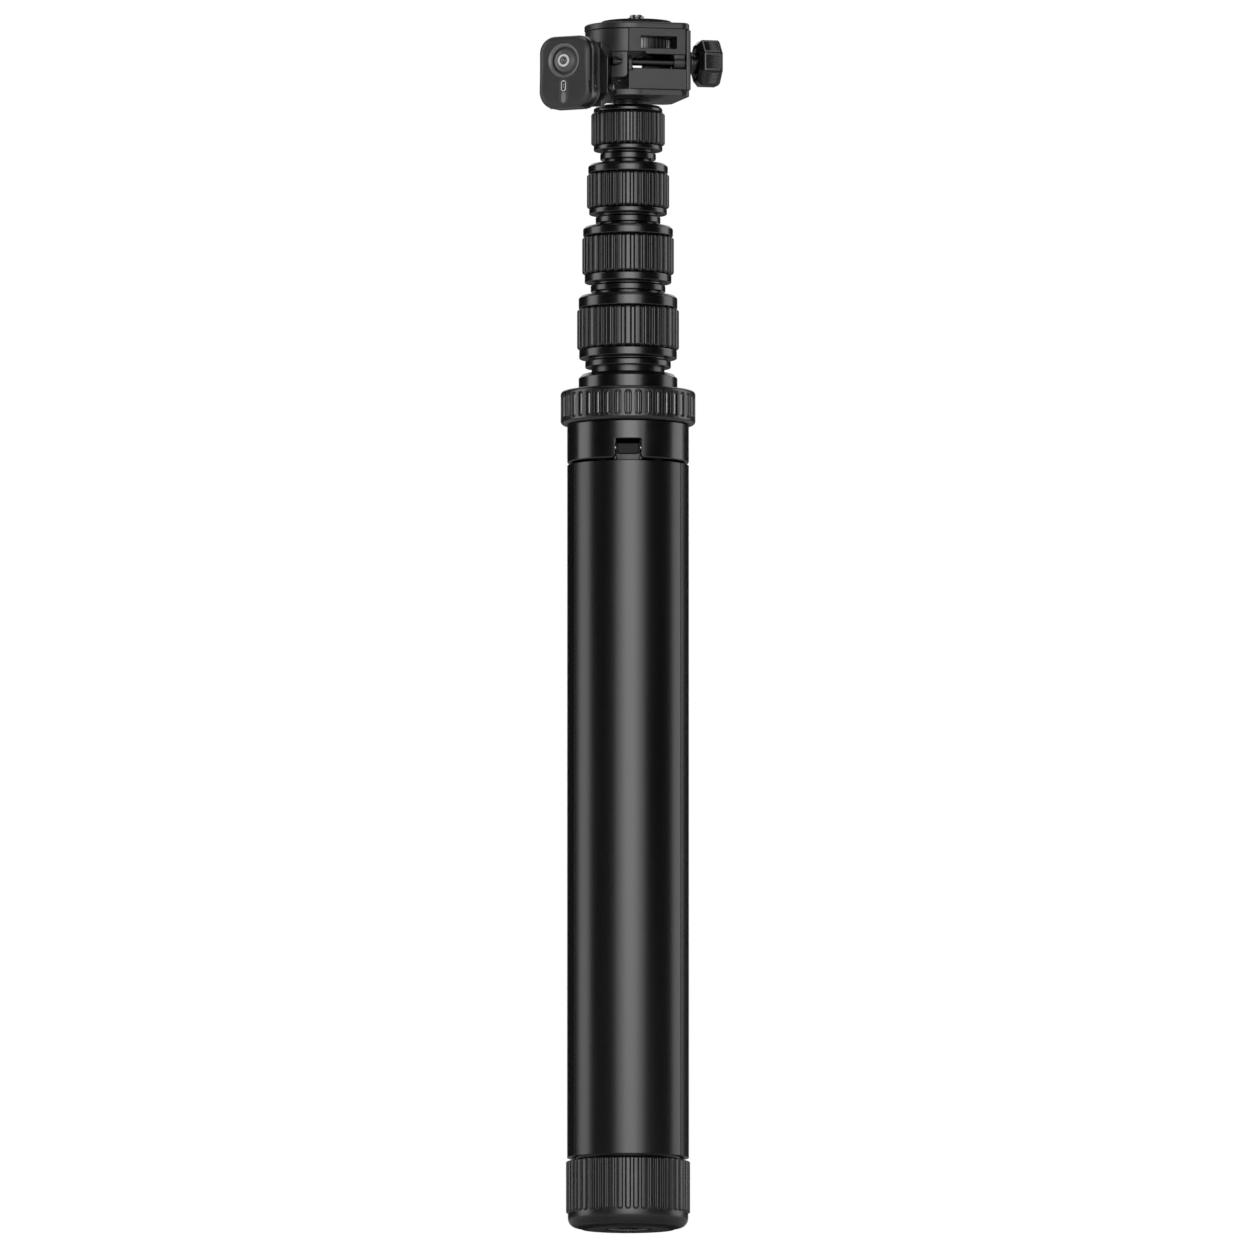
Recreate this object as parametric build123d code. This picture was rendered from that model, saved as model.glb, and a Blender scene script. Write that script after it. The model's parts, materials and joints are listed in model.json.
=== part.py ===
from build123d import *
from math import cos, pi, radians, sin, sqrt, tan
import os

os.makedirs("parts", exist_ok=True)

# A pocket travel tripod, folded upright. Three curved legs close into a cylinder round a five
# stage column. The hub that carries them slides down the column as they open. Twist locks hold
# the column stages, and a small flip head carries the camera screw and a detachable remote.
# Millimetres. The pole axis is Z, the foot rests on Z = 0 and the front leg faces -Y.

# Fits
fit = 0.05              # between curved faces of pieces that are fixed together
running = 0.06          # round a shaft that turns in its bore
sliding = 0.2           # round a tube or bush that slides
seam = 0.15             # between the flat faces of turning pieces

# Column stages, outermost first. The first is the fixed column.
column_r = 14.0
tube_steps = (1.5, 1.8, 1.9, 2.0)   # how much less each tube's radius is than the one round it
tube_wall = 0.9
tube_low = (10.0, 18.0, 20.0, 22.0, 24.0)
tube_end_drop = 1.0     # the thinnest tube ends this far under its lock's top
end_web = 4.0
bush_h = 22.0
bush_lip = 1.4

# Legs
body_r = 23.35
leg_wall = 1.8
flange_wall = 1.6
column_gap = 1.2        # from the column to the legs' inner edges
leg_split = 0.5
leg_length = 266.1
leg_lift = 1.3          # open joint between the base cap and the leg ends
sole_slope = 60         # degrees: the angle the legs open by, so that the sole lies flat
sole_edge = 1.45        # plain width of the leg's end outside its bevel
sole_proud = 0.35
sole_skirt = 1.0        # the foot's plug reaches this far below the leg, before its bevel
foot_height = 20.0
lining_gap = 0.6        # from a leg's inner edge to the plugs in its ends
hinge_block_h = 24.0

# Leg hinges
knuckle_r = 2.95
pin_r = 1.0
pin_bearing = 2.4       # length of pin held at each side of the notch
pin_above_leg = 5.0
tongue_w = 9.3
tongue_play = 0.35
facet_side = 0.5        # plain width beside the facet on the tongue's face
facet_depth = 0.5
facet_above = 1.5       # above the pin
facet_below = 2.6       # below the pin
facet_corner = (1.05, 1.0)

# Hub
hub_seam = 0.8
hub_edge = 0.5
collar_h = 14.7
collar_wall = 1.15      # round the recess for the collet's flange
collar_floor = 4.6      # depth of that recess
notch_over_knuckle = 0.45
notch_flare = 0.7
notch_flare_h = 1.6
collet_wall = 3.0
collet_taper = 1.0
finger_slit = 1.5
finger_root = 2.0
keeper_gap = 0.3        # from the notch to the posts that keep a pin in its seat

# Base cap
cap_inset = 0.35        # the cap is this much inside the legs' outer face
cap_rib_h = 0.75
cap_rib_share = 0.56    # of the ribs' pitch
cap_h = 26.1
cap_ribs = 48
cap_rib_low = 6.2
cap_rim = 3.8           # width of the rim round the foot
cap_round = 3.7
round_share = 0.97      # the rim's fillet takes at most this share of its width
cap_seat_h = 7.1
seat_clearance = 1.3
pad_h = 2.6
pad_proud = 0.6
pad_hole_r = 3.85
pad_rings = (8.0, 14.0)
pad_groove = 0.8
pad_spokes = 16
spoke_margin = 1.2
web_low = 8.0
web_h = 2.0
base_screw_r = 2.45
base_head_r = 3.5
base_head_h = 3.6
base_socket_r = 2.3
base_socket_h = 2.2

# Ribbed grips
rib_flank = 0.06        # a rib's side slopes over this share of the ribs' pitch
rib_core = 1.0          # what carries the ribs reaches this far in behind them
grip_ribs = 32
grip_wall = 1.9
grip_depth = 0.9
grip_rib_share = 0.5

# Column lock
ring_proud = 2.5        # outside the legs' outer face
ring_h = 13.0
ring_slots = 40
ring_rib_share = 0.5
ring_rim = 1.7
ring_edge = 1.0
slot_depth = 0.9
top_collar_wall = 4.75
top_collar_h = 6.3
top_collar_round = 1.6
column_reveal = 2.5

# Twist locks, lowest first: collar, band, grip and cap as (wall over the tube below, height), then
# the bare tube above. The number in each name is the number of the stage that the lock grips.
locks = (
    (4, (2.45, 3.5), (4.75, 3.3), (5.55, 15.8), (4.95, 5.0), 1.4),
    (3, (1.85, 3.5), (4.15, 3.1), (5.10, 14.6), (4.75, 3.9), 1.1),
    (2, (1.75, 3.5), (4.25, 2.1), (5.10, 13.5), (4.60, 3.7), 1.5),
    (1, (1.90, 3.5), (4.40, 1.9), (5.35, 12.8), (4.40, 2.3), 0.0),
)
cap_seam = 0.2
lock_cap_edge = 1.1
lock_cap_web = 1.5
spigot_wall = 1.4
spigot_h = 5.5
tube_seat = 2.5         # the tube below ends this far under the spigot's top
sleeve_wall = 1.4
sleeve_taper = 0.8
sleeve_slit = 1.6

# Neck and pan pivot
neck_fit = 0.1
neck_bare = 2.4
neck_depth = 18.0
neck_seam = 0.1
neck_groove = (1.2, 2.1)            # from and to, above the thinnest tube's lock
neck_groove_depth = 0.5
neck_groove_slope = 0.2
pan_bolt_r = 2.35
pan_bolt_depth = 14.0
pan_play = 0.1
pan_head_r = 4.2
pan_head_h = 3.0
pan_head_play = 0.4
pan_head_drop = 1.0     # below the lower block's top
pan_socket_r = 2.4
pan_socket_floor = 1.0

# Head, in its own frame: x along the knob's axis, y to the back
head_yaw = 14.0
head_r = 16.5
head_split = -3.7       # where the round end meets the block
head_reach = 2.3        # the block reaches this far right of the round end's radius
cheek_w = 1.7
cheek_gap = 0.2
cheek_proud = 0.2
cheek_r = 12.7
cheek_back = -0.9
yoke_left = -8.4
flange_h = 2.9
flange_boss_h = 0.5
flange_boss_r = 9.3
flange_inset = 0.1
flange_overhang = 0.2   # past the cheek, to the right
flange_corner = 4.0
block_inset = 0.4
block_h = 8.1
slot_h = 5.4
upper_h = 9.9
underside_step = 0.9
step_x = 3.0
plate_seam = 0.1
plate_h = 2.4
plate_proud = 0.25
plate_edge = 0.5
plate_hole_play = 0.3
camera_pad_r = 13.7
camera_pad_h = 1.6
camera_pad_edge = 0.4
camera_pad_hole_play = 0.6

# Camera screw and the wheel that turns it
screw_x = 3.35
screw_r = 3.175         # 1/4 inch
thread_h = 0.275        # the shank under the thread is thinner by this
screw_proud = 2.6
screw_chamfer = 0.5
wheel_r = 12.9
wheel_gap = 0.2         # above and below, in its window
wheel_teeth = 40
wheel_tooth_h = 0.5
wheel_tooth_share = 0.4
wheel_play = 0.4
window_x = (1.0, 15.2)
window_in = 6.0         # the windows reach in this near to the middle plane
window_h = 4.6
window_floor = 2.3
spigot_gap = 0.4        # from the window's top to the plate's spigot

# Tilt axle and its lugs
axle_r = 1.5
axle_inset = 2.8        # from the round end's front to the axle
axle_drop = 2.5         # from the axle down to the lower block's top
axle_end = 0.5
axle_in_knob = 4.0
axle_end_play = 0.2
lug_r = 2.75
lug_w = 4.4
lug_inset = 0.2
lug_clearance = 0.3
ear_w = 1.5
ear_inset = 0.2
ear_root = 1.0
left_lug_h = 10.0
left_lug_gap = 0.4
left_lug_back = -1.0
left_lug_round = 1.8

# Clamp knob
knob_flats = 17.5
knob_length = 9.25
knob_seam = 0.1
knob_gap = 2.3
knob_stem_r = 4.4
knob_chamfer = 1.9
knob_inner_chamfer = 0.7

# Remote, in its own frame: x to its right, y up, z out of its face
remote_turn = 28.0
remote_u = -9.74        # the remote's middle, across the tray's direction from the pole
remote_drop = 8.9       # its middle below the left lug's top
remote_w = 23.0
remote_h = 28.0
remote_front_d = 6.5
remote_back_d = 3.0
remote_corner = 6.5
remote_round = 1.8
remote_back_round = 1.2
remote_wall = 1.5
foot_w = 16.0
foot_round = 2.0
foot_play = 0.65        # above and below, in the tray
foot_end_play = 0.9

# The tray that holds it
tray_depth = 17.5       # from the remote's face to the back of the tray
tray_inset = 0.1        # each side is this much inside the remote's
tray_h = 19.3
tray_mouth_h = 25.2
tray_wall = 2.7
tray_drop = 0.55
tray_play = 0.4
tray_off_head = 0.3
shelf_x = 5.0           # the shelf that ties the tray to the left lug starts here
shelf_inset = 0.4
shelf_h = 7.5
shelf_drop = 0.3
shelf_reach = 3.0
peg_r = 1.1
peg_length = 8.0
peg_out = 2.2
peg_drop = 4.5

# Button, board and cell
button_y = 4.3
button_r = 4.4
button_gap = 0.9
button_bevel = 1.2
button_h = 2.65
button_dome = 0.9
button_flange = 0.7     # its rim under the front shell, which keeps it in
button_flange_h = 0.8
button_proud = 0.25
button_travel = 0.8
switch_w = 4.0
switch_h = 0.4
switch_gap = 0.2        # left under the button when it is pressed
board_h = 1.0
cell_r = 8.0
cell_h = 3.2

# Sizes and heights worked out from the ones above
tube_r = [column_r]
for tube_step in tube_steps:
    tube_r.append(tube_r[-1] - tube_step)
flange_inner_r = column_r + column_gap
hub_bore = column_r + sliding
top_collar_r = hub_bore + top_collar_wall
neck_r = tube_r[-1] - tube_wall - neck_fit
cap_r = body_r - cap_inset
lock_ring_r = body_r + ring_proud
half_notch = tongue_w / 2 + tongue_play
pin_half = half_notch + pin_bearing
notch_roof = knuckle_r + notch_over_knuckle
leg_low = cap_h + leg_lift
leg_high = leg_low + leg_length
pin_z = leg_high + pin_above_leg
pin_x = body_r - knuckle_r
collar_low = leg_high + hub_seam
collar_high = collar_low + collar_h
ring_low = collar_high + seam
ring_high = ring_low + ring_h
top_collar_low = ring_high + seam
top_collar_high = top_collar_low + top_collar_h
head_right = head_r + head_reach
block_y = head_r - block_inset
axle_y = axle_inset - head_r
screw_shank_r = screw_r - thread_h
wheel_h = window_h - 2 * wheel_gap
plate_spigot_h = upper_h + plate_seam - window_floor - window_h - spigot_gap
tray_w = remote_w - 2 * tray_inset
foot_h = tray_h - 2 * tray_wall - 2 * foot_play
foot_d = tray_depth - tray_wall - foot_end_play - remote_front_d - remote_back_d


def turned(*points):
    """A solid turned about the pole axis from (radius, height) points."""
    outline = Polyline(*[(r, 0, z) for r, z in points], close=True)
    return revolve(make_face(outline), Axis.Z)


def ring(r_out, r_in, low, high):
    return turned((r_in, low), (r_out, low), (r_out, high), (r_in, high))


def disc(r, low, high, x=0, y=0):
    return Pos(x, y, low) * extrude(Circle(r), high - low)


def block(x0, x1, y0, y1, z0, z1):
    return Pos((x0 + x1) / 2, (y0 + y1) / 2, (z0 + z1) / 2) * Box(x1 - x0, y1 - y0, z1 - z0)


def rod_x(r, x0, x1, y, z):
    return Pos((x0 + x1) / 2, y, z) * Rot(0, 90, 0) * Cylinder(r, x1 - x0)


def rod_y(r, half, x, z):
    return Pos(x, 0, z) * Rot(90, 0, 0) * Cylinder(r, 2 * half)


def prism(plan, low, high):
    return Pos(0, 0, low) * extrude(plan, high - low)


def prism_out(x, length, *points):
    """A prism along +X from a (y, z) outline that stands at x."""
    plane = Plane(origin=(x, 0, 0), x_dir=(0, 1, 0), z_dir=(1, 0, 0))
    return plane * extrude(make_face(Polyline(*points, close=True)), length)


def around(shape, count, start=0.0):
    return [Rot(0, 0, start + i * 360 / count) * shape for i in range(count)]


def ribbed(count, r_root, r_tip, share, low, high, bevel=0):
    """A bar with straight ribs; each rib's top takes the given share of its pitch.

    The bevel slopes both ends of each rib with one flat facet.
    """
    pitch = 2 * pi / count
    points = []
    for i in range(count):
        for r, turn in (
            (r_root, -share / 2 - rib_flank),
            (r_tip, -share / 2),
            (r_tip, share / 2),
            (r_root, share / 2 + rib_flank),
        ):
            angle = (i + turn) * pitch
            points.append((r * cos(angle), r * sin(angle)))
    bar = prism(make_face(Polyline(*points, close=True)), low, high)
    if bevel:
        facets = RegularPolygon(r_tip, count, major_radius=False, rotation=180 / count)
        envelope = prism(facets, low, high)
        bar &= chamfer(envelope.faces().filter_by(Axis.Z).edges(), bevel)
    return bar


def save(name, shape):
    pieces = shape if isinstance(shape, list) else [shape]
    solids = [solid for piece in pieces for solid in piece.solids()]
    body = solids[0] if len(solids) == 1 else Compound(children=solids)
    export_step(body, f"parts/{name}.step")


def sole_cutter(drop):
    """What the bevelled sole takes off a leg's lower end, moved down by drop."""
    edge = body_r - sole_edge
    top = leg_low - drop + edge * tan(radians(sole_slope))
    return turned((0, 0), (edge, 0), (edge, leg_low - drop), (0, top))


def base():
    """Ribbed end cap, its rubber foot, and the screw that holds it to the column."""
    socket = column_r + fit
    seat_low_r = body_r - sole_edge - seat_clearance
    seat_high_r = seat_low_r - cap_seat_h / tan(radians(sole_slope))
    web_high = web_low + web_h
    hole = base_screw_r + running
    recess = cap_r - cap_rim
    core = seat_low_r - rib_core
    cap = turned(
        (pad_hole_r, pad_h), (recess, pad_h), (recess, pad_proud), (cap_r, pad_proud),
        (cap_r, cap_rib_low), (core, cap_rib_low), (core, cap_h), (seat_low_r, cap_h),
        (seat_high_r, cap_h + cap_seat_h), (socket, cap_h + cap_seat_h), (socket, web_high),
        (hole, web_high), (hole, web_low), (pad_hole_r, web_low),
    )
    rim = cap.edges().filter_by(GeomType.CIRCLE).filter_by_position(Axis.Z, pad_proud, pad_proud)
    cap = fillet(rim.sort_by(lambda e: e.radius)[-1], min(cap_round, round_share * cap_rim))
    ribs = ribbed(cap_ribs, cap_r, cap_r + cap_rib_h, cap_rib_share, cap_rib_low, cap_h, cap_rib_h)
    save("base_cap", cap + (ribs - disc(core, cap_rib_low, cap_h)))

    pad_r = recess - sliding
    pad = ring(pad_r, pad_hole_r, 0, pad_h)
    half_groove = pad_groove / 2
    for r in pad_rings:
        pad -= ring(r + half_groove, r - half_groove, 0, pad_groove)
    spoke = block(pad_rings[-1] + spoke_margin, pad_r - spoke_margin,
                  -half_groove, half_groove, 0, pad_groove)
    save("base_foot_pad", pad - around(spoke, pad_spokes))

    low = web_low - base_head_h
    screw = disc(base_head_r, low, web_low) + disc(base_screw_r, web_low, web_high + end_web)
    socket_cut = prism(RegularPolygon(base_socket_r, 6), low, low + base_socket_h)
    save("base_screw", screw - socket_cut)


def leg_sector(inset, r_out):
    """A third of a disc centred on +X, its sides drawn in from the seams by inset."""
    apex = inset / sin(radians(60))
    reach = 2 * r_out
    side = (apex + reach * cos(radians(60)), reach * sin(radians(60)))
    wedge = make_face(Polyline((apex, 0), side, (side[0], -side[1]), close=True))
    return Circle(r_out) & wedge


def hinge_tongue():
    """The tongue on top of a leg: a round knuckle with a bevelled facet on its face."""
    half_w = tongue_w / 2
    tongue = block(pin_x - knuckle_r, body_r, -half_w, half_w, leg_high, pin_z)
    tongue += rod_y(knuckle_r, half_w, pin_x, pin_z)
    tongue &= disc(body_r, leg_high, pin_z + 2 * knuckle_r)
    half_facet = half_w - facet_side
    across, up = facet_corner
    top = pin_z + facet_above
    bottom = pin_z - facet_below
    return tongue - prism_out(
        body_r - facet_depth, 2 * facet_depth + hub_seam,
        (-half_facet, top), (-half_facet, bottom + up), (across - half_facet, bottom),
        (half_facet - across, bottom), (half_facet, bottom + up), (half_facet, top))


def legs():
    """Three curved shells, each with a plug and rubber foot below and a hinge block above."""
    half_split = leg_split / 2
    inside_r = body_r - leg_wall
    cavity = leg_sector(half_split + flange_wall, inside_r)
    wall = leg_sector(half_split, body_r) - Circle(flange_inner_r) - cavity
    shell = prism(wall, leg_low, leg_high) - sole_cutter(0)

    lining = leg_sector(half_split + flange_wall + fit, inside_r - fit)
    lining -= Circle(flange_inner_r + lining_gap)
    foot = prism(lining, leg_low - sole_skirt, leg_low + foot_height) - sole_cutter(sole_proud)
    hinge = prism(lining, leg_high - hinge_block_h, leg_high) + hinge_tongue()
    hinge -= rod_y(pin_r + running, tongue_w, pin_x, pin_z)

    for number, azimuth in enumerate((-90, 30, 150), start=1):
        turn = Rot(0, 0, azimuth)
        save(f"leg_shell_{number}", turn * shell)
        save(f"leg_foot_{number}", turn * foot)
        save(f"leg_hinge_{number}", turn * hinge)


def hub_collar():
    """The collar with a notch for each leg's tongue and a seat for each hinge pin."""
    recess_low = collar_high - collar_floor
    recess_r = body_r - collar_wall
    collar = turned(
        (hub_bore, collar_low), (body_r - hub_edge, collar_low), (body_r, collar_low + hub_edge),
        (body_r, collar_high), (recess_r, collar_high), (recess_r, recess_low),
        (hub_bore, recess_low),
    )
    notch_in = pin_x - knuckle_r - tongue_play
    notch = block(notch_in, 2 * body_r, -half_notch, half_notch, collar_low, pin_z + notch_roof)
    notch += prism_out(
        notch_in, body_r,
        (-half_notch - notch_flare, collar_low), (half_notch + notch_flare, collar_low),
        (half_notch, collar_low + notch_flare_h), (-half_notch, collar_low + notch_flare_h))
    pocket_half = pin_half + fit
    pocket = block(pin_x - pin_r - fit, pin_x + pin_r + fit, -pocket_half, pocket_half,
                   pin_z, collar_high)
    pocket -= block(0, body_r, -half_notch, half_notch, pin_z + notch_roof, recess_low)
    pocket += rod_y(pin_r + fit, pocket_half, pin_x, pin_z)
    save("hub_collar", collar - around(notch, 3, -90) - around(pocket, 3, -90))
    save("leg_hinge_pins", around(rod_y(pin_r, pin_half, pin_x, pin_z), 3, -90))


def column_lock():
    """The collet that grips the column, the slotted ring that closes it, and the top collar."""
    recess_low = collar_high - collar_floor
    collet_flange_r = body_r - collar_wall - fit
    grip_r = column_r + seam
    out_r = grip_r + collet_wall
    taper_low = ring_low + ring_h / 2
    collet = turned(
        (grip_r, recess_low), (collet_flange_r, recess_low), (collet_flange_r, collar_high),
        (out_r, collar_high), (out_r, taper_low), (out_r - collet_taper, top_collar_low),
        (grip_r, top_collar_low),
    )
    slit = block(0, body_r, -finger_slit / 2, finger_slit / 2, ring_low + finger_root, top_collar_low)
    collet -= around(slit, 3, -30)
    for side in (-1, 1):
        y0, y1 = sorted((side * (half_notch + keeper_gap), side * pin_half))
        post = block(pin_x - pin_r, pin_x + pin_r, y0, y1, pin_z + pin_r, recess_low)
        collet += around(post, 3, -90)
    save("hub_collet", collet)

    root_r = lock_ring_r - slot_depth
    core_r = root_r - rib_core
    edge_r = lock_ring_r - ring_edge
    bore = out_r + sliding
    slot_low = ring_low + ring_rim
    slot_high = ring_high - ring_rim
    body = turned(
        (bore, ring_low), (edge_r, ring_low), (lock_ring_r, ring_low + ring_edge),
        (lock_ring_r, slot_low), (core_r, slot_low), (core_r, slot_high),
        (lock_ring_r, slot_high), (lock_ring_r, ring_high - ring_edge),
        (edge_r, ring_high), (bore - collet_taper, ring_high), (bore, taper_low),
    )
    ribs = ribbed(ring_slots, root_r, lock_ring_r, ring_rib_share, slot_low, slot_high)
    save("column_lock_ring", body + (ribs - disc(core_r, slot_low, slot_high)))

    shoulder = top_collar_r - top_collar_round
    save("hub_top_collar", turned(
        (hub_bore, top_collar_low), (top_collar_r, top_collar_low),
        (top_collar_r, top_collar_high - top_collar_round), (shoulder, top_collar_high),
        (hub_bore, top_collar_high)))


def stage(number, low, high):
    """A column tube with the bush on its lower end."""
    r = tube_r[5 - number]
    inside = r - tube_wall
    save(f"tube_{number}", ring(r, inside, low, high))
    bush_r = tube_r[4 - number] - tube_wall - sliding
    save(f"bushing_{number}", turned(
        (inside, low - bush_lip), (bush_r, low - bush_lip), (bush_r, low + bush_h),
        (r + fit, low + bush_h), (r + fit, low), (inside, low)))


def twist_lock(number, collar, band, grip, cap, low):
    """One lock from its collar's lower face up. Returns the tube's seat and the cap's top."""
    below = tube_r[4 - number]
    inner = tube_r[5 - number]
    collar_r = below + collar[0]
    band_r = below + band[0]
    grip_r = below + grip[0]
    lock_cap_r = below + cap[0]
    collar_top = low + collar[1]
    band_top = collar_top + band[1]
    grip_top = band_top + grip[1]
    cap_low = grip_top + cap_seam
    cap_top = cap_low + cap[1]
    spigot_top = band_top + spigot_h
    seat = spigot_top - tube_seat
    spigot_r = below + spigot_wall
    nut_low = band_top + seam
    nut_r = grip_r - grip_wall

    save(f"lock_base_{number}", turned(
        (below + fit, low), (collar_r, low), (collar_r, collar_top),
        (band_r, collar_top), (band_r, band_top), (spigot_r, band_top), (spigot_r, spigot_top),
        (inner + sliding, spigot_top), (inner + sliding, seat), (below + fit, seat)))

    sleeve_in = inner + 2 * fit
    sleeve_out = inner + sleeve_wall
    sleeve_top = cap_top - lock_cap_web
    taper_low = (spigot_top + sleeve_top) / 2
    sleeve = turned(
        (sleeve_in, spigot_top), (sleeve_out, spigot_top), (sleeve_out, taper_low),
        (sleeve_out - sleeve_taper, sleeve_top), (sleeve_in, sleeve_top))
    slit = block(0, below, -sleeve_slit / 2, sleeve_slit / 2, spigot_top, sleeve_top)
    save(f"lock_sleeve_{number}", sleeve - slit)

    bore = sleeve_out + seam
    save(f"lock_nut_{number}", turned(
        (spigot_r + seam, nut_low), (nut_r, nut_low), (nut_r, cap_low), (lock_cap_r, cap_low),
        (lock_cap_r, cap_top - lock_cap_edge), (lock_cap_r - lock_cap_edge, cap_top),
        (inner + sliding, cap_top), (inner + sliding, sleeve_top + seam),
        (bore - sleeve_taper, sleeve_top + seam), (bore, taper_low), (bore, spigot_top + seam),
        (spigot_r + seam, spigot_top + seam)))

    ribs = ribbed(grip_ribs, grip_r - grip_depth, grip_r, grip_rib_share, nut_low, grip_top, grip_depth)
    save(f"lock_grip_{number}", ribs - disc(nut_r + fit, nut_low, grip_top))
    return seat, cap_top


def column():
    """Column tube, the four twist locks and the telescoping tubes. Returns the stack's top."""
    low = top_collar_high + column_reveal
    seats = []
    top = low
    for number, collar, band, grip, cap, reveal in locks:
        seat, top = twist_lock(number, collar, band, grip, cap, low)
        seats.append(seat)
        low = top + reveal
    inside = column_r - tube_wall
    web = tube_low[0] + end_web
    save("column_tube", turned(
        (base_screw_r, tube_low[0]), (column_r, tube_low[0]), (column_r, seats[0]),
        (inside, seats[0]), (inside, web), (base_screw_r, web)))
    for index, number in enumerate((4, 3, 2), start=1):
        stage(number, tube_low[index], seats[index])
    stage(1, tube_low[4], top - tube_end_drop)
    return top


def head_plan(r, right, half_y):
    """Round end about the pole and a block to the right, its far corners rounded."""
    box = Pos(right / 2, 0) * Rectangle(right, 2 * half_y)
    ends = box.vertices().group_by(Axis.X)[-1]
    return Circle(r) + fillet(ends, flange_corner)


class HeadLevels:
    """The head's heights from the stack's top up, and its places along the axle."""

    def __init__(self, low):
        self.flange_low = low + neck_bare
        self.flange_high = self.flange_low + flange_h
        self.block_high = self.flange_high + block_h
        self.axle_z = self.block_high + axle_drop
        self.upper_low = self.block_high + slot_h
        self.upper_high = self.upper_low + upper_h
        self.window_low = self.upper_low + window_floor
        self.plate_low = self.upper_high + plate_seam
        self.plate_high = self.plate_low + plate_h
        self.pad_high = self.plate_high + camera_pad_h
        self.lug_top = self.upper_low + underside_step
        self.bolt_head_low = self.block_high - pan_head_drop - pan_head_h
        self.cheek_in = head_right + cheek_gap
        self.cheek_out = self.cheek_in + cheek_w
        self.lug_right = head_right - lug_inset
        self.lug_left = self.lug_right - lug_w
        self.knob_in = self.cheek_out + knob_seam
        self.knob_face = self.knob_in + knob_gap


def neck(at, low):
    """The plug in the thinnest tube, and the bolt that the head pans on."""
    groove_low = low + neck_groove[0]
    groove_high = low + neck_groove[1]
    groove_r = neck_r - neck_groove_depth
    plug_high = at.flange_low - neck_seam
    plug = turned(
        (0, low - neck_depth), (neck_r, low - neck_depth), (neck_r, groove_low),
        (groove_r, groove_low + neck_groove_slope), (groove_r, groove_high - neck_groove_slope),
        (neck_r, groove_high), (neck_r, plug_high), (0, plug_high))
    bolt_low = at.flange_high - pan_bolt_depth
    save("neck_plug", plug - disc(pan_bolt_r, bolt_low, at.flange_low))
    bolt_high = at.bolt_head_low + pan_head_h
    bolt = disc(pan_bolt_r, bolt_low, at.bolt_head_low)
    bolt += disc(pan_head_r, at.bolt_head_low, bolt_high)
    socket = prism(RegularPolygon(pan_socket_r, 6), at.bolt_head_low + pan_socket_floor, bolt_high)
    save("pan_bolt", bolt - socket)


def yoke(at, yaw):
    """The fixed lower block: flange, block, right cheek and the axle's left ear."""
    far = 2 * body_r
    boss = at.flange_low + flange_boss_h
    plan = head_plan(head_r, at.cheek_out + flange_overhang, head_r - flange_inset)
    flange = prism(plan, boss, at.flange_high) & block(yoke_left, far, -far, far, 0, at.plate_high)
    shape = flange + disc(flange_boss_r, at.flange_low, boss)
    shape += block(head_split, at.cheek_in, -block_y, block_y, at.flange_high, at.block_high)
    cheek = block(at.cheek_in, at.cheek_out, axle_y - cheek_r, cheek_back, at.flange_high, at.axle_z)
    cheek += rod_x(cheek_r, at.cheek_in, at.cheek_out, axle_y, at.axle_z)
    shape += cheek & block(at.cheek_in, at.cheek_out, -block_y - cheek_proud, cheek_back,
                           at.flange_high, at.plate_low)
    ear_right = head_split + ear_w
    ear_r = lug_r - ear_inset
    shape -= rod_x(lug_r + lug_clearance, at.lug_left - lug_clearance, at.cheek_in, axle_y, at.axle_z)
    shape += rod_x(ear_r, head_split, ear_right, axle_y, at.axle_z)
    shape += block(head_split, ear_right, axle_y - ear_r, axle_y + ear_r,
                   at.block_high - ear_root, at.axle_z)
    shape -= rod_x(axle_r + fit, head_split - ear_w, at.cheek_out + ear_w, axle_y, at.axle_z)
    shape -= disc(pan_bolt_r + pan_play, at.flange_low, at.block_high)
    shape -= disc(pan_head_r + pan_head_play, at.bolt_head_low - pan_play, at.block_high)
    save("head_yoke", yaw * shape)


def tilting_body(at, yaw):
    """The upper block with the wheel's windows, its right lug on the axle, and the left lug."""
    plan = Circle(head_r) + Pos((head_split + head_right) / 2, 0) * Rectangle(
        head_right - head_split, 2 * head_r)
    shape = prism(plan, at.upper_low, at.upper_high)
    shape -= block(-2 * head_r, step_x, -2 * head_r, 2 * head_r, at.upper_low, at.lug_top)
    shape -= disc(wheel_r + wheel_play, at.window_low, at.upper_high, screw_x)
    for side in (-1, 1):
        y0, y1 = sorted((side * window_in, side * 2 * head_r))
        shape -= block(*window_x, y0, y1, at.window_low, at.window_low + window_h)
    lug = rod_x(lug_r, at.lug_left, at.lug_right, axle_y, at.axle_z)
    lug += block(at.lug_left, at.lug_right, axle_y - axle_drop + seam, axle_y + lug_r,
                 at.axle_z, at.upper_low)
    shape += lug
    shape -= rod_x(axle_r + running, at.lug_left - ear_w, at.lug_right + ear_w, axle_y, at.axle_z)
    save("tilt_body", yaw * shape)

    lug_in = head_split - left_lug_gap
    half = Circle(head_r) & Pos(lug_in - head_r, left_lug_back - head_r) * Rectangle(
        2 * head_r, 2 * head_r)
    left_lug = prism(half, at.lug_top - left_lug_h, at.lug_top)
    corner = left_lug.edges().filter_by(Axis.Y).sort_by(Axis.Z)[0]
    left_lug = fillet(corner, left_lug_round)
    left_lug -= rod_x(axle_r + running, -2 * head_r, lug_in + ear_w, axle_y, at.axle_z)
    save("left_lug", yaw * left_lug)


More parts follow.
